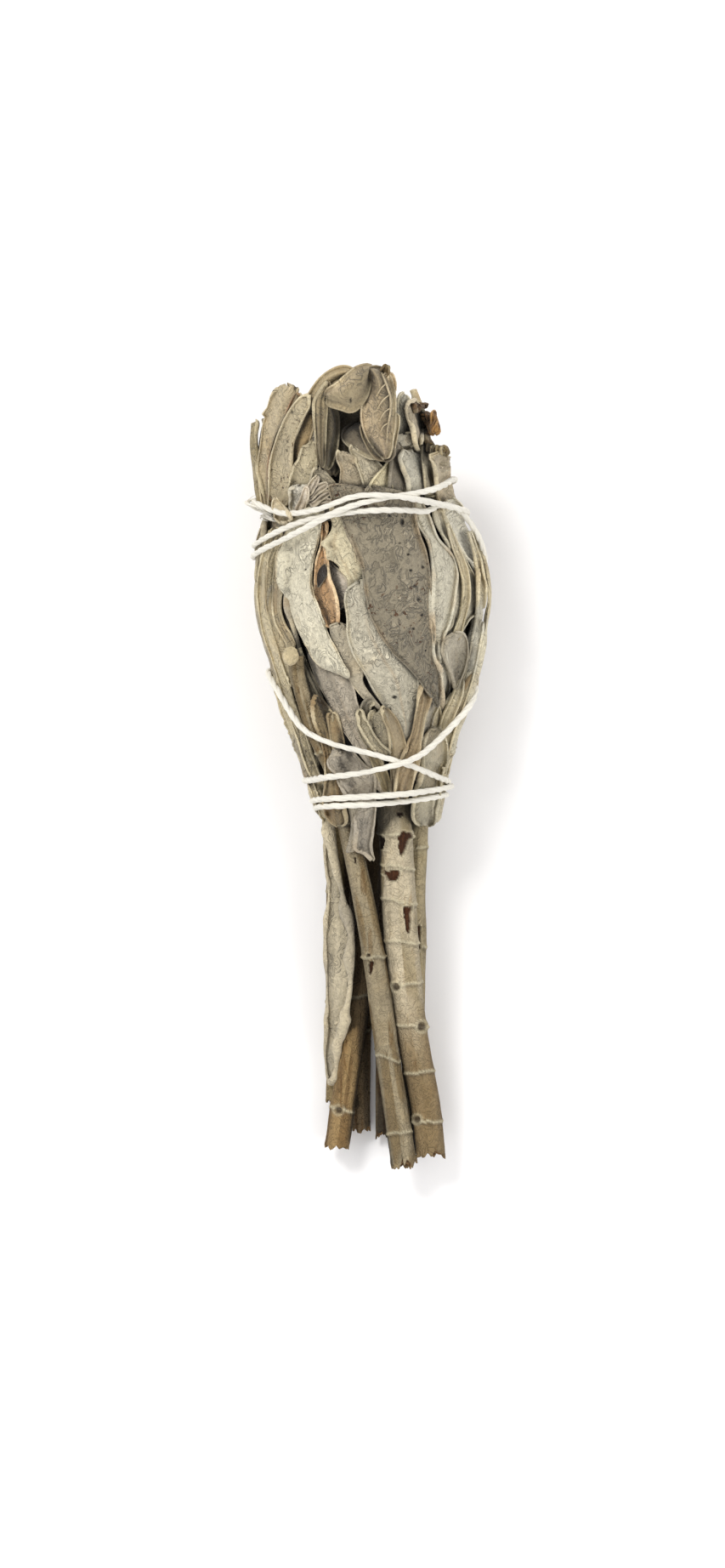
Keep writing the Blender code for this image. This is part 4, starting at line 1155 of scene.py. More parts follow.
FEATHERS = (
    (((366, 600), (376, 594), (390, 592)), 2.0),
    (((366, 594), (376, 586), (388, 580)), 2.0),
    (((364, 588), (373, 578), (385, 571)), 1.8),
    (((362, 582), (368, 572), (374, 562)), 1.8),
    (((352, 604), (358, 590), (361, 574)), 3.0),
)
NECK_STRIPS = (
    (((470, 905), (462, 880), (455, 858), (446, 838), (440, 826)), 3.0),
    (((483, 912), (485, 886), (491, 862), (496, 842), (495, 820)), 3.4),
    (((500, 900), (505, 875), (512, 852), (515, 830)), 3.4),
    (((447, 902), (440, 884), (430, 866), (422, 848)), 3.2),
    (((456, 930), (450, 912), (443, 896), (434, 880)), 3.2),
)
POUCH_VEINS = (
    (((449, 441), (454, 454), (459, 470), (459, 487), (456, 506), (455, 524)), 1.3),
    (((454, 454), (448, 460), (443, 469)), 0.8),
    (((458, 467), (450, 474), (444, 484)), 0.8),
    (((460, 482), (452, 488), (446, 498)), 0.8),
    (((457, 500), (451, 504), (447, 512)), 0.7),
)


def under_leaves():
    """The lower layers: the sheaths, the left side, the head and the right silhouette."""
    # Painted shade: a dark sheet low behind the hanging sheath, standing for the deep shadow there.
    blade("sheath_behind", (
        (398, 1130, 408, 1130), (398, 1090, 412, 1090), (398, 1050, 412, 1050), (394, 1010, 406, 1005),
        (388, 975, 400, 970), (384, 950, 398, 945),
    ), linear(60, 48, 34), crown=0.4, specks=0, rolls=(0.1, 0.1), slot_name="sage_grey", wrinkles=0.5,
        levels=((4, 4), (5, 5), (7, 7), (10, 10), (13, 13), (15, 15)))
    blade("hanging_sheath", (
        (389, 1276, 396, 1278), (385, 1250, 396, 1252), (386, 1210, 403, 1210), (386, 1170, 411, 1172),
        (385, 1130, 414, 1130), (384, 1095, 413, 1092), (388, 1060, 404, 1055), (386, 1020, 397, 1015),
        (384, 985, 392, 980), (381, 955, 388, 950),
    ), linear(152, 143, 124), ("leaf_hanging",),
        levels=(
            (4.4, 6), (5, 7.2), (7.4, 10.6), (9.6, 13.2), (10.6, 14.4), (11.6, 15), (13.2, 16), (15, 17),
            (17, 18), (18, 18.6),
        ), rolls=(0.35, 0.9), turn=4.2, crown=0.5, slot_name="sage_grey", wrinkles=1.4,
        second=linear(172, 161, 136), fold=0.3, specks=0.1, rim=linear(184, 172, 146), tip=0.05, wave=0.6)
    leaf("under_left", (
        (451, 935, 456, 935), (444, 927, 450, 925), (436, 904, 444, 900), (422, 884, 438, 882),
        (412, 868, 430, 865), (399, 850, 427, 850), (387, 826, 421, 828), (375, 801, 415, 805),
        (365, 777, 410, 790), (358, 760, 395, 770),
    ), linear(172, 162, 144), rolls=(0.25, 0.35), rib=0.2, crown=0.7, specks=0.2, pleats=2, pleat=0.3)
    leaf("left_far_low", (
        (376, 946, 384, 944), (367, 925, 376, 922), (357, 905, 366, 900), (345, 880, 356, 876),
        (338, 858, 348, 852), (331, 835, 341, 828), (320, 808, 333, 806),
    ), OLIVE, crown=1.0, slot_name="sage_grey", rolls=(0.4, 0.4), stain=0.4)
    leaf("left_outer", (
        (378, 958, 387, 956), (366, 920, 374, 918), (352, 884, 360, 880), (337, 846, 346, 840),
        (326, 826, 337, 822), (314, 799, 328, 803), (307, 777, 321, 780), (299, 759, 317, 762),
        (294, 741, 311, 748), (289, 716, 308, 720), (289, 700, 310, 700), (290, 675, 311, 682),
        (292, 648, 313, 662), (293, 625, 314, 640), (296, 604, 314, 612),
    ), PALE_WARM, crown=0.9, fold=0.6, rolls=(0.5, 0.45), stain=0.35, second=GREY, pleats=2, pleat=0.7)
    leaf("left_strand", (
        (345, 824, 360, 820), (338, 810, 353, 812), (333, 791, 343, 790), (328, 771, 339, 765),
        (322, 757, 333, 751), (314, 739, 325, 739), (309, 720, 318, 721), (307, 700, 318, 700),
        (309, 682, 322, 682), (311, 662, 325, 662), (313, 645, 329, 645), (316, 625, 333, 620),
    ), PALE_WARM, crown=1.0, fold=0.5, rolls=(0.4, 0.4), stain=0.4, second=GREY, pleats=2, pleat=0.6)
    for k, (line, half) in enumerate(LEFT_STRIPS):
        strip(f"left_strip_{k}", line, half, (GREY, PALE_WARM, OLIVE)[k % 3], stain=0.3, second=PALE_WARM)
    blade("top_dark_left", (
        (311, 600, 322, 600), (306, 575, 318, 570), (301, 545, 314, 540), (300, 515, 313, 510),
        (300, 494, 312, 494),
    ), linear(104, 92, 70), crown=0.5, specks=0, slot_name="sage_grey")
    leaf("top_stick", (
        (304, 600, 312, 598), (298, 578, 307, 576), (294, 556, 304, 556), (292, 536, 303, 536),
        (291, 518, 301, 516), (291, 496, 300, 496),
    ), linear(150, 137, 106), crown=1.5, tip=0.03, slot_name="sage_tan", rolls=(0.5, 0.5), wave=0.15,
        lift=0.4)
    leaf("top_tall", (
        (311, 600, 323, 600), (308, 575, 320, 575), (305, 551, 319, 553), (306, 536, 322, 528),
        (309, 520, 329, 508), (312, 500, 338, 490), (317, 480, 345, 474), (322, 464, 349, 462),
        (327, 453, 348, 455), (330, 449, 345, 452),
    ), linear(180, 165, 134), crown=1.1, tip=0.02, rolls=(0.12, 0.2), lift=0.3, stain=0.2,
        heights=(-1, 0, 1, 2.5, 3.5, 4), fold=0.3, torn=0.8, wave=0.5,
        dots=((327, 451, 3, 2.5), (348, 459, 1.6, 3)))
    blade("top_tan_inside", (
        (345, 560, 352, 556), (346, 540, 358, 538), (350, 518, 364, 516), (358, 500, 368, 498),
        (363, 488, 368, 486),
    ), linear(168, 146, 108), crown=0.8, specks=0.4, slot_name="sage_tan")
    blade("top_tall_fold", (
        (317, 590, 325, 588), (316, 560, 325, 556), (320, 530, 330, 524), (328, 506, 340, 502),
        (338, 488, 350, 484), (345, 474, 353, 470), (348, 466, 351, 464),
    ), linear(134, 122, 98), crown=0.6, rolls=(0.15, 0.1), lift=0.4, heights=(-1, 0, 1.5, 3, 4, 4.6),
        specks=0.2, rim=linear(150, 108, 74), tip=0.1)
    leaf("top_second", (
        (318, 600, 339, 597), (319, 563, 343, 552), (322, 536, 343, 536), (329, 514, 345, 520),
        (339, 494, 353, 500), (348, 478, 359, 488), (356, 469, 364, 478), (363, 465, 365, 468),
    ), linear(178, 165, 136), crown=1.1, rolls=(0.3, 0.2), specks=0.9, lift=0.5,
        heights=(0, 1, 2, 3.5, 5, 6), wave=0.5,
        dots=((344, 487, 1.6, 1.2), (338, 521, 1.2, 1.2), (338, 532, 1.2, 1.2)))
    blade("top_torn", (
        (339, 578, 366, 580), (342, 560, 370, 563), (349, 544, 373, 548), (356, 528, 374, 532),
        (363, 516, 373, 516),
    ), linear(186, 174, 144), crown=0.6, torn=1.2, tip=0.04, base=0.03, ragged=0.2, lift=0.5, specks=0.5)
    blade("top_torn_base", (
        (344, 606, 360, 606), (342, 592, 364, 590), (341, 576, 366, 574), (343, 570, 364, 568),
    ), linear(204, 198, 182), crown=0.5, torn=1.0, tip=0.04, base=0.04, ragged=0.25, lift=0.3, specks=0.1,
        dots=((352, 572, 3.2, 1.2), (357.5, 571.5, 2.2, 1.2)))
    blade("top_behind", (
        (360, 612, 400, 612), (362, 590, 397, 590), (366, 570, 394, 572), (369, 556, 384, 560),
        (370, 548, 376, 550),
    ), linear(164, 154, 132), crown=0.5, torn=0.6, rolls=(0.3, 0.2), lift=0.2)
    for k, (line, half) in enumerate(FEATHERS):
        strip(f"top_feather_{k}", line, half, linear(196, 184, 164), specks=0, wrinkles=0.4, fold=0,
              gap=0.15, tip=0.4)
    leaf("top_middle", (
        (402, 592, 434, 592), (401, 566, 430, 566), (403, 553, 425, 553), (400, 544, 417, 543),
        (397, 536, 410, 533), (391, 531, 404, 528),
    ), linear(168, 156, 132), crown=1.0, curl=1.6, torn=1.0, rolls=(0.15, 0.3), lift=0.6, tip=0.14,
        ragged=0.1)
    leaf("top_centre", (
        (432, 594, 450, 594), (429, 570, 448, 568), (422, 549, 449, 553), (416, 537, 436, 540),
        (410, 526, 421, 525),
    ), linear(180, 170, 146), crown=0.8, curl=0.8, rolls=(0.15, 0.15), lift=0.4, torn=0.7, tip=0.14)
    blade("top_yellow", (
        (434, 594, 460, 594), (436, 574, 459, 574), (443, 563, 459, 563), (451, 554, 459, 554),
        (457, 546, 459, 546),
    ), linear(214, 202, 166), crown=0.3, tip=0.03, rolls=(0.15, 0.2), lift=0.5, specks=0)
    leaf("top_right", (
        (461, 529, 486, 522), (465, 512, 488, 514), (470, 500, 484, 500), (469, 480, 480, 490),
        (470, 470, 478, 477), (474, 462, 480, 466),
    ), SILVER, crown=0.9, rolls=(0.15, 0.25), lift=0.8, heights=(1, 2, 3.5, 5), torn=0.5, base=0.03,
        pleats=1, pleat=0.5)
    blade("top_flap", (
        (462, 531, 487, 524), (463, 520, 488, 515), (466, 511, 484, 508),
    ), linear(186, 180, 162), crown=0.7, rolls=(0.2, 0.2), lift=1.2, heights=(2.5, 3, 3.5), torn=0.6,
        base=0.05, tip=0.1, wrinkles=1.2)
    blade("top_grey_point", (
        (459, 580, 478, 580), (460, 553, 475, 561), (461, 530, 473, 544), (464, 516, 472, 528),
    ), linear(142, 134, 118), crown=0.7, rolls=(0.2, 0.3), lift=0.6, tip=0.05)
    leaf("top_narrow", (
        (493, 548, 501, 544), (489, 524, 501, 508), (484, 504, 496, 496), (480, 490, 492, 486),
        (479, 478, 490, 480), (486, 470, 489, 474),
    ), linear(176, 164, 140), crown=0.8, rolls=(0.3, 0.3), lift=0.4, torn=0.4, pleats=2, pleat=0.5)
    blade("top_silver", (
        (481, 582, 512, 584), (478, 563, 511, 563), (473, 548, 508, 548), (472, 536, 502, 540),
        (478, 531, 493, 533),
    ), SILVER, crown=1.2, wave=0.7, rolls=(0.3, 0.3), lift=0.4, wrinkles=0.6, tip=0.08, pleats=2,
        pleat=0.6)
    blade("top_slim", (
        (502, 582, 512, 578), (497, 536, 506, 544), (495, 518, 501, 524), (496, 506, 500, 506),
    ), linear(186, 176, 152), crown=0.6, rolls=(0.25, 0.25), lift=0.3, tip=0.04)
    blade("top_tube_back", (
        (506, 545, 530, 548), (502, 525, 528, 528), (500, 510, 524, 508), (503, 502, 521, 503),
    ), linear(96, 76, 48), crown=-0.4, rolls=(0.2, 0.3), torn=0.8, specks=0, slot_name="sage_tan",
        tip=0.03)
    leaf("top_tan", (
        (500, 512, 522, 510), (499, 502, 522, 500), (500, 494, 520, 493),
    ), linear(100, 74, 42), crown=0.6, torn=1.2, ragged=0.4, rolls=(0.1, 0.1), lift=0.6,
        slot_name="sage_tan", tip=0.04, specks=0.9, rim=linear(120, 84, 42), wave=0.9, pleats=3, pleat=0.6)
    for k, (px, py) in enumerate(((495, 489), (500, 484), (507, 481), (514, 484), (520, 491))):
        strip(f"tan_spike_{k}", ((511, 510), (px / 2 + 257, py / 2 + 253), (px, py)), 2.7,
              (linear(156, 118, 68), linear(112, 82, 46))[k % 2], fold=0.6, specks=0.7, torn=0.5, lift=1.0,
              slot_name="sage_tan", rim=linear(120, 84, 42), tip=0.4)
    blade("top_curls", (
        (487, 486, 492, 485), (486, 480, 495, 479), (488, 474, 494, 473), (487, 470, 490, 470),
    ), linear(92, 70, 44), crown=0.5, torn=1.0, ragged=0.5, rolls=(0.2, 0.2), specks=0.5, wave=0.8,
        slot_name="sage_tan", heights=(3, 3.5, 4), base=0.02, tip=0.04)
    for k, (px, py) in enumerate(((505, 528), (510, 531), (516, 530), (521, 532), (526, 530))):
        strip(f"tube_bead_{k}", ((px, py + 3), (px + 0.5, py - 1), (px, py - 4)), 2.2, linear(112, 96, 62),
              fold=0, specks=1.0, lift=0.8, slot_name="sage_tan")
    leaf("top_tube", (
        (522, 606, 549, 606), (514, 579, 541, 574), (511, 553, 533, 551), (507, 536, 530, 536),
        (506, 533, 529, 534),
    ), linear(172, 160, 136), crown=1.6, rolls=(0.3, 0.3), lift=0.6, tip=0.02, base=0.03, torn=0.3)
    leaf("right_silhouette", (
        (541, 830, 552, 842), (553, 800, 568, 806), (563, 771, 578, 779), (568, 747, 587, 745),
        (570, 720, 592, 720), (571, 692, 594, 686), (569, 660, 592, 662), (563, 640, 588, 645),
        (556, 620, 580, 622), (550, 600, 572, 600),
    ), PALE_WARM, crown=0.7, rolls=(0.35, 0.35), second=GREY, stain=0.4, pleats=2, pleat=0.7)


def over_leaves():
    """The upper layers: the right side, the middle, the neck, and the broad leaves on top."""
    leaf("right_edge", (
        (514, 848, 520, 850), (527, 826, 535, 826), (540, 802, 550, 802), (548, 785, 555, 779),
        (549, 763, 560, 759), (553, 745, 566, 739), (559, 720, 571, 724), (559, 700, 574, 700),
        (560, 682, 576, 682), (555, 664, 574, 662), (545, 650, 567, 642), (533, 632, 557, 622),
        (524, 612, 547, 603), (518, 590, 540, 585),
    ), linear(218, 213, 196), crown=0.9, fold=0.5, rolls=(0.2, 0.2), specks=0.3, wrinkles=1.2)
    leaf("right_low", (
        (524, 846, 532, 850), (538, 825, 547, 828), (549, 805, 557, 806), (557, 785, 569, 781),
        (560, 762, 574, 758), (562, 742, 576, 738),
    ), linear(148, 132, 102), crown=0.8, fold=0.4, rolls=(0.4, 0.4), slot_name="sage_grey", stain=0.5,
        pleats=2, pleat=0.6)
    blade("right_lowest", (
        (511, 966, 517, 966), (517, 940, 524, 936), (522, 915, 530, 902), (526, 885, 537, 876),
        (530, 860, 543, 852), (538, 838, 550, 832),
    ), linear(138, 124, 96), crown=0.8, rolls=(0.3, 0.3), slot_name="sage_grey", stain=0.4)
    blade("right_rim", (
        (505, 780, 515, 782), (520, 752, 536, 750), (531, 735, 551, 728), (533, 719, 560, 719),
        (534, 700, 562, 700), (536, 680, 560, 684), (534, 660, 552, 668), (526, 640, 540, 648),
        (514, 618, 529, 622), (506, 600, 521, 600),
    ), linear(196, 189, 168), crown=0.8, rolls=(0.2, 0.2), rib=0.2, second=PALE, pleats=1, pleat=0.5)
    leaf("right_fold", (
        (513, 858, 517, 858), (518, 834, 525, 823), (519, 810, 527, 803), (518, 791, 525, 789),
        (513, 759, 520, 749), (510, 740, 525, 736), (508, 720, 529, 720), (508, 698, 533, 698),
        (509, 674, 536, 674), (505, 642, 530, 652), (498, 625, 513, 633), (488, 601, 500, 601),
        (484, 585, 495, 584),
    ), linear(190, 184, 164), crown=0.8, fold=0.3, rolls=(0.45, 0.25), rim=RIM_TAN, turn=4.0, specks=0.4,
        lift=0.3)
    for k, (line, half) in enumerate(RIGHT_STRIPS):
        strip(f"right_strip_{k}", line, half, (PALE, SILVER, PALE)[k % 3], stain=0.2, second=PALE_WARM)
    for k, (line, half) in enumerate(NECK_STRIPS):
        strip(f"neck_strip_{k}", line, half, (GREY, OLIVE, PALE_WARM)[k % 3], stain=0.3, wrinkles=0.5)
    leaf("right_pointed", (
        (535, 809, 536, 810), (529, 789, 546, 785), (523, 775, 549, 767), (521, 759, 546, 748),
        (526, 748, 542, 742),
    ), linear(160, 152, 134), crown=1.0, rolls=(0.1, 0.1), slot_name="sage_grey", rib=0.2, specks=0.6,
        rim=linear(152, 142, 120), base=0.03, lift=0.3)
    leaf("left_strand_high", (
        (341, 765, 349, 763), (333, 748, 340, 745), (326, 735, 333, 733), (322, 718, 330, 719),
        (322, 700, 332, 700), (322, 680, 334, 675), (326, 662, 336, 655),
    ), linear(150, 138, 112), crown=0.6, fold=0.4, rolls=(0.35, 0.35), stain=0.3, pleats=2, pleat=0.5)
    blade("centre_grey", (
        (399, 718, 405, 713), (395, 706, 409, 700), (391, 690, 409, 688), (386, 676, 403, 676),
        (384, 664, 393, 668), (383, 655, 386, 658),
    ), linear(206, 196, 180), crown=0.3, rolls=(0.1, 0.1), specks=0.1, wave=0.3, lift=0.7)
    leaf("inner_tan", (
        (386, 739, 398, 736), (378, 723, 399, 718), (371, 708, 397, 704), (369, 693, 392, 690),
        (370, 680, 388, 680), (373, 660, 385, 662), (378, 645, 383, 645), (380, 615, 386, 615),
    ), linear(178, 140, 98), base=0.02, crown=0.2, rolls=(0.0, 0.1), slot_name="sage_tan", specks=0.3,
        wave=1.2, second=linear(212, 178, 136), ragged=0.12, pleats=2, pleat=0.7, wrinkles=1.8)
    # Painted shade: a dark patch standing for the shade seen through a hole in the tan leaf.
    blade("inner_hole", (
        (374, 692, 376, 691), (373, 682, 381, 684), (375, 672, 386, 674), (380, 664, 385, 666),
    ), linear(36, 26, 16), crown=-0.2, rolls=(0.0, 0.0), specks=0, wrinkles=0.3, gap=0.02, thick=0.2,
        tip=0.3, base=0.3, wave=0.1)
    leaf("centre_left", (
        (446, 833, 451, 836), (432, 823, 441, 825), (420, 809, 431, 812), (411, 797, 426, 800),
        (404, 779, 430, 785), (397, 765, 425, 768), (390, 751, 418, 752), (388, 736, 412, 736),
        (388, 731, 410, 730),
    ), linear(172, 162, 140), crown=0.5, rolls=(0.3, 0.2), torn=0.8, tip=0.02, lift=0.2)
    leaf("left_low", (
        (390, 970, 410, 971), (386, 950, 404, 950), (384, 922, 398, 920), (386, 892, 393, 890),
        (381, 875, 393, 868), (376, 858, 390, 850), (370, 840, 386, 838), (368, 826, 379, 828),
        (369, 818, 373, 818),
    ), linear(132, 116, 86), crown=0.9, rolls=(0.4, 0.4), stain=0.5, pleats=2, pleat=0.6)
    blade("left_low_second", (
        (396, 886, 403, 884), (390, 866, 401, 862), (388, 850, 397, 848), (387, 838, 392, 838),
    ), linear(150, 132, 100), crown=0.6, rolls=(0.3, 0.3), stain=0.4, torn=0.5)
    leaf("neck_cut", (
        (408, 1001, 410, 1002), (409, 996, 419, 999), (412, 985, 420, 986), (414, 968, 420, 968),
        (410, 950, 420, 950), (404, 935, 418, 930), (398, 915, 412, 912),
    ), GREY, crown=0.8, rolls=(0.2, 0.2), slot_name="sage_grey", torn=0.4, base=0.01, ragged=0.1)
    leaf("torn_low", (
        (436, 1011, 438, 1012), (428, 1003, 437, 1004), (419, 999, 436, 996), (418, 985, 437, 982),
        (418, 968, 438, 968), (419, 951, 441, 951), (404, 932, 441, 930), (394, 911, 438, 908),
        (387, 901, 431, 903), (388, 892, 421, 893), (392, 880, 409, 878),
    ), linear(162, 153, 137), crown=0.6, rim=linear(166, 155, 132), rolls=(0.2, 0.2), torn=1.2, tip=0.02,
        base=0.01, ragged=0.08, fold=0.4, wave=0.7, slot_name="sage_grey", specks=0.2)
    leaf("neck_curled", (
        (448, 890, 460, 888), (441, 872, 458, 870), (437, 852, 455, 852), (438, 838, 450, 836),
    ), linear(158, 148, 124), crown=1.0, rolls=(0.5, 0.4), wave=0.4)
    blade("neck_hook", (
        (428, 862, 436, 858), (427, 842, 434, 842), (429, 828, 435, 828), (436, 822, 440, 826),
    ), linear(134, 126, 108), crown=0.4, rolls=(0.5, 0.4))
    blade("neck_band", (
        (455, 892, 459, 886), (443, 884, 449, 878), (432, 868, 438, 864), (424, 852, 430, 850),
        (420, 836, 425, 834),
    ), linear(168, 158, 132), crown=0.3, rolls=(0.35, 0.3), stain=0.3)
    leaf("torn_pale", (
        (409, 716, 434, 708), (407, 700, 431, 700), (408, 684, 430, 690), (405, 678, 428, 684),
        (398, 672, 428, 678), (397, 668, 427, 671), (390, 661, 426, 664), (383, 656, 425, 658),
        (382, 646, 424, 650), (376, 640, 422, 645), (382, 634, 418, 638), (389, 623, 413, 626),
        (387, 604, 407, 603), (388, 588, 402, 586),
    ), linear(202, 192, 162), crown=0.4, rolls=(0.0, 0.15), ragged=0.14, stain=0.3, tip=0.05, base=0.01)
    leaf("mid_pale", (
        (471, 874, 477, 876), (471, 862, 481, 868), (469, 850, 486, 857), (459, 838, 490, 842),
        (451, 826, 490, 819), (444, 814, 490, 800), (436, 801, 486, 785), (428, 789, 476, 770),
        (417, 769, 466, 752), (412, 753, 456, 735), (410, 730, 448, 712), (408, 706, 436, 690),
        (412, 688, 433, 672),
    ), linear(184, 177, 157), crown=0.8, rolls=(0.2, 0.2), rib=0.3, tip=0.02, specks=0.5, wrinkles=1.4,
        shade=0.1, torn=0.8, fine=0.28, dots=((464, 820, 3, 2), (459, 836, 1.4, 4)))
    leaf("neck_right", (
        (487, 916, 492, 918), (492, 884, 500, 878), (495, 868, 504, 858), (500, 846, 508, 842),
        (503, 823, 514, 827), (501, 804, 511, 812),
    ), linear(158, 150, 132), crown=0.6, rolls=(0.25, 0.3))
    leaf("neck_left", (
        (463, 938, 474, 938), (462, 915, 474, 915), (461, 894, 474, 894), (460, 874, 475, 878),
        (457, 858, 473, 868), (452, 844, 468, 854), (448, 829, 458, 838),
    ), linear(156, 142, 116), crown=0.8, rolls=(0.3, 0.35), wrinkles=0.5, second=linear(152, 136, 106))
    leaf("neck_middle", (
        (465, 938, 480, 938), (468, 919, 482, 917), (473, 898, 487, 903), (478, 882, 490, 884),
        (486, 864, 494, 868), (490, 842, 498, 846), (494, 819, 502, 823), (493, 805, 500, 807),
    ), linear(152, 134, 104), crown=0.8, rolls=(0.3, 0.35), wrinkles=0.5, pleats=2, pleat=0.4)
    blade("sheath_right", (
        (489, 970, 508, 972), (487, 957, 510, 957), (488, 941, 513, 940), (492, 921, 516, 918),
        (497, 898, 520, 898), (499, 872, 522, 876), (507, 856, 520, 856),
    ), linear(158, 150, 128), crown=0.9, rolls=(0.3, 0.35), base=0.1, stain=0.2)
    leaf("dark_broad", (
        (514, 830, 516, 830), (507, 818, 516, 803), (497, 803, 514, 791), (484, 787, 511, 775),
        (464, 767, 509, 759), (450, 747, 508, 740), (437, 724, 506, 720), (432, 702, 505, 700),
        (429, 688, 504, 682), (426, 668, 502, 662), (420, 648, 498, 646), (412, 632, 492, 630),
        (406, 615, 488, 615), (398, 602, 486, 601), (391, 583, 484, 589), (388, 565, 480, 578),
    ), linear(136, 127, 108), crown=1.4, rolls=(0.15, 0.2), torn=0.9, tip=0.012, specks=1.0,
        rim=linear(150, 130, 100), slot_name="sage_grey", base=0.02, wrinkles=2.4, shade=0.12, fine=0.25,
        dots=(
            (473, 615, 2.4, 4.2), (480, 653, 1.6, 1.6), (483, 672, 2, 1.4), (488, 690, 2.4, 1.8),
            (492, 706, 2.2, 1.6), (496, 724, 2, 1.6), (470, 640, 1.6, 1.2), (497, 668, 1.6, 2),
            (458, 608, 2, 1.4), (486, 740, 1.6, 1.4),
        ))
    leaf("pale_left", (
        (408, 797, 411, 796), (404, 794, 409, 790), (391, 789, 406, 786), (381, 785, 403, 782),
        (371, 777, 400, 776), (365, 767, 396, 766), (357, 753, 389, 752), (349, 736, 382, 735),
        (343, 720, 377, 720), (335, 700, 370, 700), (328, 690, 368, 690), (326, 672, 368, 670),
        (326, 652, 370, 656), (331, 636, 375, 638), (341, 620, 379, 615), (352, 600, 382, 598),
    ), linear(208, 201, 178), crown=1.0, rolls=(0.2, 0.25), specks=0.3, base=0.02, tip=0.03,
        rim=linear(190, 168, 126), wrinkles=1.4, fine=0.28,
        dots=((361, 670, 1.8, 1.6), (369, 609, 1.6, 1.2)))


# How much higher the hood stands than the levels that are written with its leaves.
HOOD_RISE = 2.9


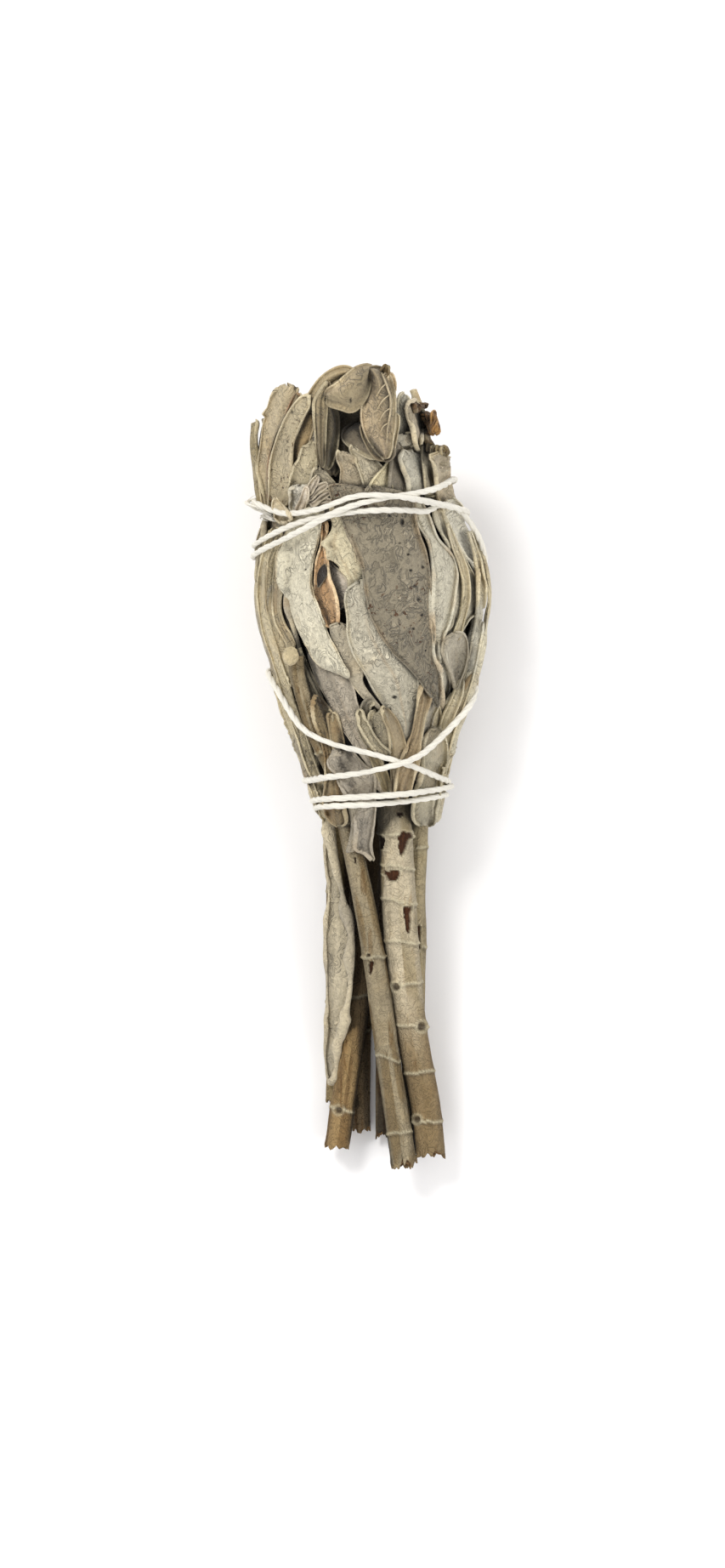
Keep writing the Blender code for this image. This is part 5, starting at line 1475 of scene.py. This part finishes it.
def hood():
    """The leaves that fold over at the top of the head, and under them a dark sheet of painted shade
    for the hollow.
    """

    def high(*levels):
        return np.array(levels, float) + HOOD_RISE

    # Painted shade: a dark concave sheet standing for the deep shade in the hollow.
    blade("hood_hollow", (
        (376, 575, 462, 575), (374, 540, 464, 540), (374, 505, 466, 505), (380, 475, 464, 475),
        (392, 450, 455, 445),
    ), linear(44, 35, 24), crown=-2.0, specks=0, wrinkles=0.6, gap=0.1, slot_name="sage_grey",
        levels=((31, 31), (30, 30), (31, 31), (35, 35), (40, 40)), rolls=(0, 0))
    blade("hood_panel", (
        (384, 562, 399, 560), (384, 545, 401, 542), (385, 520, 408, 520), (386, 500, 421, 500),
        (386, 485, 430, 484), (392, 474, 432, 470), (398, 462, 432, 458),
    ), linear(128, 116, 94), crown=0.8, specks=0, wrinkles=0.5, rolls=(0.1, 0.2), tip_shade=0.4,
        slot_name="sage_grey",
        levels=high((40, 39), (39, 37), (37.5, 36), (36.5, 36), (37, 37), (39, 39), (42, 42)), pleats=2,
        pleat=0.8)
    blade("hood_inner_fold", (
        (382, 552, 386, 552), (384, 525, 391, 528), (384, 500, 395, 502), (384, 484, 393, 488),
        (384, 474, 388, 478),
    ), linear(138, 126, 100), crown=1.4, rolls=(0.3, 0.4), specks=0,
        levels=high((43, 42), (43.5, 41.5), (44, 41.5), (44.5, 42), (45, 43.5)), wrinkles=0.6)
    blade("hood_lower", (
        (414, 500, 428, 496), (407, 508, 436, 504), (405, 518, 446, 514), (412, 526, 456, 523),
        (426, 533, 460, 532), (440, 540, 456, 542),
    ), linear(118, 108, 90), crown=1.6, specks=0.1, rolls=(0.3, 0.5),
        levels=high((38, 40), (40, 42), (41, 43), (42.5, 44), (43.5, 44.5), (44, 44)), wrinkles=0.5,
        slot_name="sage_grey", base=0.2, tip=0.15)
    blade("hood_back", (
        (380, 470, 398, 474), (383, 460, 404, 466), (388, 451, 412, 458), (396, 446, 420, 450),
    ), linear(146, 136, 114), crown=0.8, specks=0, levels=high((42, 41), (43, 42), (44, 43), (45, 44)))
    blade("hood_band", (
        (353, 490, 361, 492), (360, 478, 368, 482), (366, 468, 374, 472), (371, 459, 380, 464),
        (377, 450, 386, 456), (385, 443, 393, 450), (395, 438.5, 401, 446), (405, 437, 410, 444),
        (415, 439, 419, 444),
    ), linear(166, 150, 118), crown=1.2, rolls=(0.4, 0.5), wrinkles=0.5,
        levels=high(
            (41, 41), (43.5, 43), (45, 44.5), (45.5, 45), (46, 45.5), (46.5, 46), (47, 46.5), (47, 47),
            (47, 47),
        ))
    blade("hood_strand", (
        (377, 551, 381, 551), (374, 530, 381, 530), (372, 510, 382, 510), (370, 490, 383, 490),
        (371, 472, 384, 470), (378, 460, 387, 459), (383, 451, 387, 452),
    ), linear(140, 126, 98), crown=0.9, rolls=(0.15, 0.2), pleats=2, pleat=0.8, tip=0.12, shade=0.45,
        levels=high((46, 45.5), (46, 45.5), (46, 45.5), (46, 45.5), (46, 45.5), (46.5, 46), (47, 46.5)))
    blade("hood_pouch_rim", (
        (449, 542, 457, 537), (438, 532, 463, 520), (430, 518, 467, 505), (425, 500, 468, 488),
    ), linear(128, 114, 90), crown=2.0, rolls=(0.3, 0.3),
        levels=high((44.5, 44.5), (45, 45), (45.5, 45.5), (46, 46)), wrinkles=0.4, specks=0,
        slot_name="sage_grey", base=0.15)
    blade("hood_pouch", (
        (452, 541, 455, 541), (445, 532, 458, 530), (437, 521, 460, 519), (431, 509, 462, 505),
        (427, 496, 463, 490), (427, 484, 463, 478), (429, 471, 462, 466), (434, 459, 459, 454),
        (434, 449, 454, 444), (431, 442, 448, 437.5), (429, 437, 441, 434),
    ), linear(140, 127, 102), crown=2.0, fold=1.4, rolls=(0.2, 0.25), wrinkles=1.6, specks=0.1, tip=0.05,
        base=0.12, wave=1.3,
        levels=high(
            (46, 46), (46.5, 46), (47, 46), (47, 46), (47, 46), (47, 46), (46.5, 45.5), (46, 45), (46, 45),
            (46, 45), (46, 45),
        ), second=linear(170, 152, 122), rib=0.2)
    for k, (line, half) in enumerate(POUCH_VEINS):
        strip(f"pouch_vein_{k}", line, half, linear(186, 170, 138), gap=0.02, thick=0.2, crown=0.3,
              fold=0, wave=0.05, rolls=(0.0, 0.0), specks=0, wrinkles=0.4, tip=0.5)
    blade("hood_lobe", (
        (382, 466, 385, 473), (390, 461, 393, 476), (398, 456, 403, 479), (406, 449, 413, 482),
        (413, 443, 421, 477), (420, 437, 428, 468), (428, 434, 432, 456), (437, 433, 433, 443),
    ), linear(146, 133, 106), crown=2.2, rolls=(0.2, 0.4), turn=2.6, wrinkles=1.4, specks=0.2, tip=0.04,
        wave=1.2,
        levels=high(
            (47, 46), (47, 46.5), (47.5, 47), (47.5, 47.5), (47.5, 47.5), (47, 47.5), (46.5, 47),
            (46, 46.5),
        ), second=linear(176, 160, 130), tip_shade=0.3, dots=((412.5, 474, 2, 2),))
    blade("hood_nib", (
        (449, 440, 454, 445), (451, 436, 456, 438), (454, 433, 456, 434),
    ), linear(112, 94, 62), crown=0.4, levels=high((45, 45), (46, 46), (47, 47)), specks=0,
        slot_name="sage_tan")
    blade("hood_curl", (
        (457, 462, 463, 462), (455, 452, 463, 452), (453, 445, 461, 445), (455, 442, 459, 442),
    ), linear(196, 178, 146), crown=0.8, levels=high((44, 44), (45, 44), (45.5, 45), (45.5, 45)), specks=0)


def bud():
    """The round bud on the left: a sphere, a little flattened, with a soft swell."""
    x, y = at_photo(350, 772)
    angle = float(relief.angle_in_plan(np.array([x]), np.array([y]), 1.5)[0][0])
    height = float(np.max(clearance(np.array([angle]), np.array([y]), 1.4))) + 0.3
    centre = on_bunch(np.array(angle), np.array(y), np.array(height))
    rows, columns = 40, 48
    v, turn = all_pairs(np.linspace(0, np.pi, rows), circle_angles(columns))
    swell = 1 + 0.06 * grain(turn * 2, v * 3, 12)
    local = np.stack([np.sin(v) * np.cos(turn), -np.cos(v), np.sin(v) * np.sin(turn)], axis=-1)
    local = local * np.array([1.75, 2.0, 1.6])
    points = centre + local * swell[..., None]
    colour = np.array(linear(172, 158, 126)) * (1 + 0.1 * grain(turn * 3, v * 4, 4))[..., None]
    marks = np.stack([0 * v, 0 * v + 0.6, 0 * v], axis=-1)
    uv = np.stack([turn, v], axis=-1)
    faces = grid_faces(rows, columns, closed=True)
    add_piece("bud", points, faces, colour, marks, uv, LEAF)


def front_bits():
    """Leaf tips that lie over the twine."""
    blade("front_tip", (
        (338, 618, 344, 612), (330, 613, 341, 606), (324, 604, 334, 598), (322, 594, 327, 590),
        (323, 587, 325, 587),
    ), linear(206, 192, 162), crown=0.5, rolls=(0.3, 0.2), curl=1.4, specks=0, tip=0.15, lift=1.7)


def loose_fibres():
    """Untwisted fibres of the twine at its upper left bend: thin tubes about its middle line."""
    chance = np.random.default_rng(11)
    line = np.array(((283, 588), (292, 596), (303, 602), (315, 608), (327, 614)), float)
    points, faces = [], []
    count, length, sides = 34, 26, 5
    ring = circle_angles(sides)
    for k in range(count):
        s = np.linspace(chance.uniform(0, 1.2), chance.uniform(3.0, 4.0), length)
        middle = smooth_curve(s, np.arange(5.0), line)
        spread = (4 - s) * 1.7 + 1.2
        px = middle[:, 0] + 0.5 * spread * chance.uniform(-1, 1) + 1.2 * grain(s * 1.3, 0 * s, k)
        py = middle[:, 1] + spread * chance.uniform(-1, 1) + 1.6 * grain(s * 1.1, 0 * s, k + 50)
        x, y = at_photo(px, py)
        angle = relief.angle_in_plan(x, y, 1.0)[0]
        centre = on_bunch(angle, y, relief.at(angle, y) + 0.9 + 0.6 * chance.uniform(0, 1))
        for _ in range(6):
            centre[1:-1] = (centre[:-2] + 2 * centre[1:-1] + centre[2:]) / 4
        ahead = unit(np.gradient(centre, axis=0))
        side = unit(np.cross(ahead, (0.0, 0.0, 1.0)))
        up = np.cross(side, ahead)
        radius = chance.uniform(0.08, 0.2) * np.clip(np.minimum(s - s[0], s[-1] - s) / 0.5, 0.15, 1)
        tube = centre[:, None] + radius[:, None, None] * (np.cos(ring)[None, :, None] * side[:, None]
                                                          + np.sin(ring)[None, :, None] * up[:, None])
        faces += grid_faces(length, sides, length * sides * k, closed=True)
        points.append(tube.reshape(-1, 3))
    points = np.concatenate(points)
    colour = np.broadcast_to(np.array(linear(242, 238, 226)), points.shape)
    uv = points[:, :2] * 0.02
    add_piece("loose_fibres", points, faces, colour, np.zeros_like(points), uv, COTTON)


HEAD_DEPTH = 3.0
RESTING_PATH = ((188, -2), (188, 12), (189, 25), (189, 37), (189, 50), (190, 64))


def build_bunch():
    """Lays the pieces from the inside out. The inner leaves stand deeper than the starting relief."""
    heart()
    stems()
    relief.height = relief.height - HEAD_DEPTH
    inner_leaves()
    relief.height = np.maximum(relief.height, Relief().height)
    back_leaves()
    under_leaves()
    crossing_stem()
    over_leaves()
    round_leaf("resting_leaf", RESTING_PATH, 7.4, PALE_WARM, ("leaf_resting",), crown=0.6, wave=0.5,
               rib=0.7, thick=0.6, lift=0.6)
    hood()
    bud()
    paint_gap_shade()
    twine()
    loose_fibres()
    front_bits()


# Floor, light and camera.


def studio():
    """A pale floor, a large soft light from the upper left, weaker ones round it, and a pale sky."""
    mesh = bpy.data.meshes.new("floor")
    half = 3.0
    corners = [(x * half, y * half, 0) for x, y in ((-1, -1), (1, -1), (1, 1), (-1, 1))]
    mesh.from_pydata(corners, [], [(0, 1, 2, 3)])
    floor = bpy.data.objects.new("floor", mesh)
    bpy.context.scene.collection.objects.link(floor)
    look, _, shader, _ = new_look("floor_paper")
    shader.inputs["Base Color"].default_value = (0.97, 0.965, 0.97, 1)
    shader.inputs["Roughness"].default_value = 0.9
    shader.inputs["Specular IOR Level"].default_value = 0.1
    mesh.materials.append(look)
    target = Vector((0, 0, 0.02))
    for name, place, size, power in (
        ("key", (-0.6, 0.8, 1.2), 0.45, 12.0),
        ("fill", (1.0, -0.2, 1.0), 1.0, 6.6),
        ("low", (-0.3, -1.1, 0.9), 0.9, 4.0),
    ):
        data = bpy.data.lights.new(name, "AREA")
        data.energy = power
        data.size = size
        data.color = (1.0, 0.985, 0.96)
        light = bpy.data.objects.new(name, data)
        light.location = place
        light.rotation_euler = (target - Vector(place)).to_track_quat("-Z", "Y").to_euler()
        bpy.context.scene.collection.objects.link(light)
    world = bpy.data.worlds.new("sky")
    world.use_nodes = True
    sky = world.node_tree.nodes["Background"]
    sky.inputs["Color"].default_value = (1.0, 0.995, 1.0, 1)
    sky.inputs["Strength"].default_value = 0.7
    bpy.context.scene.world = world


def camera():
    """Straight above the middle of the photograph, with its top towards +Y."""
    distance = 4.0
    photo_height = 1844 * PIXEL * MM
    data = bpy.data.cameras.new("camera")
    data.sensor_fit = "AUTO"
    data.sensor_width = 36.0
    data.lens = 36.0 * distance / photo_height
    eye = bpy.data.objects.new("camera", data)
    x, y = at_photo(426.5, 922.0)
    eye.location = ((x + ORIGIN_SHIFT[0]) * MM, (y + ORIGIN_SHIFT[1]) * MM, 0.027 + distance)
    bpy.context.scene.collection.objects.link(eye)
    bpy.context.scene.camera = eye
    bpy.context.scene.view_settings.view_transform = "Standard"


build_bunch()
studio()
camera()
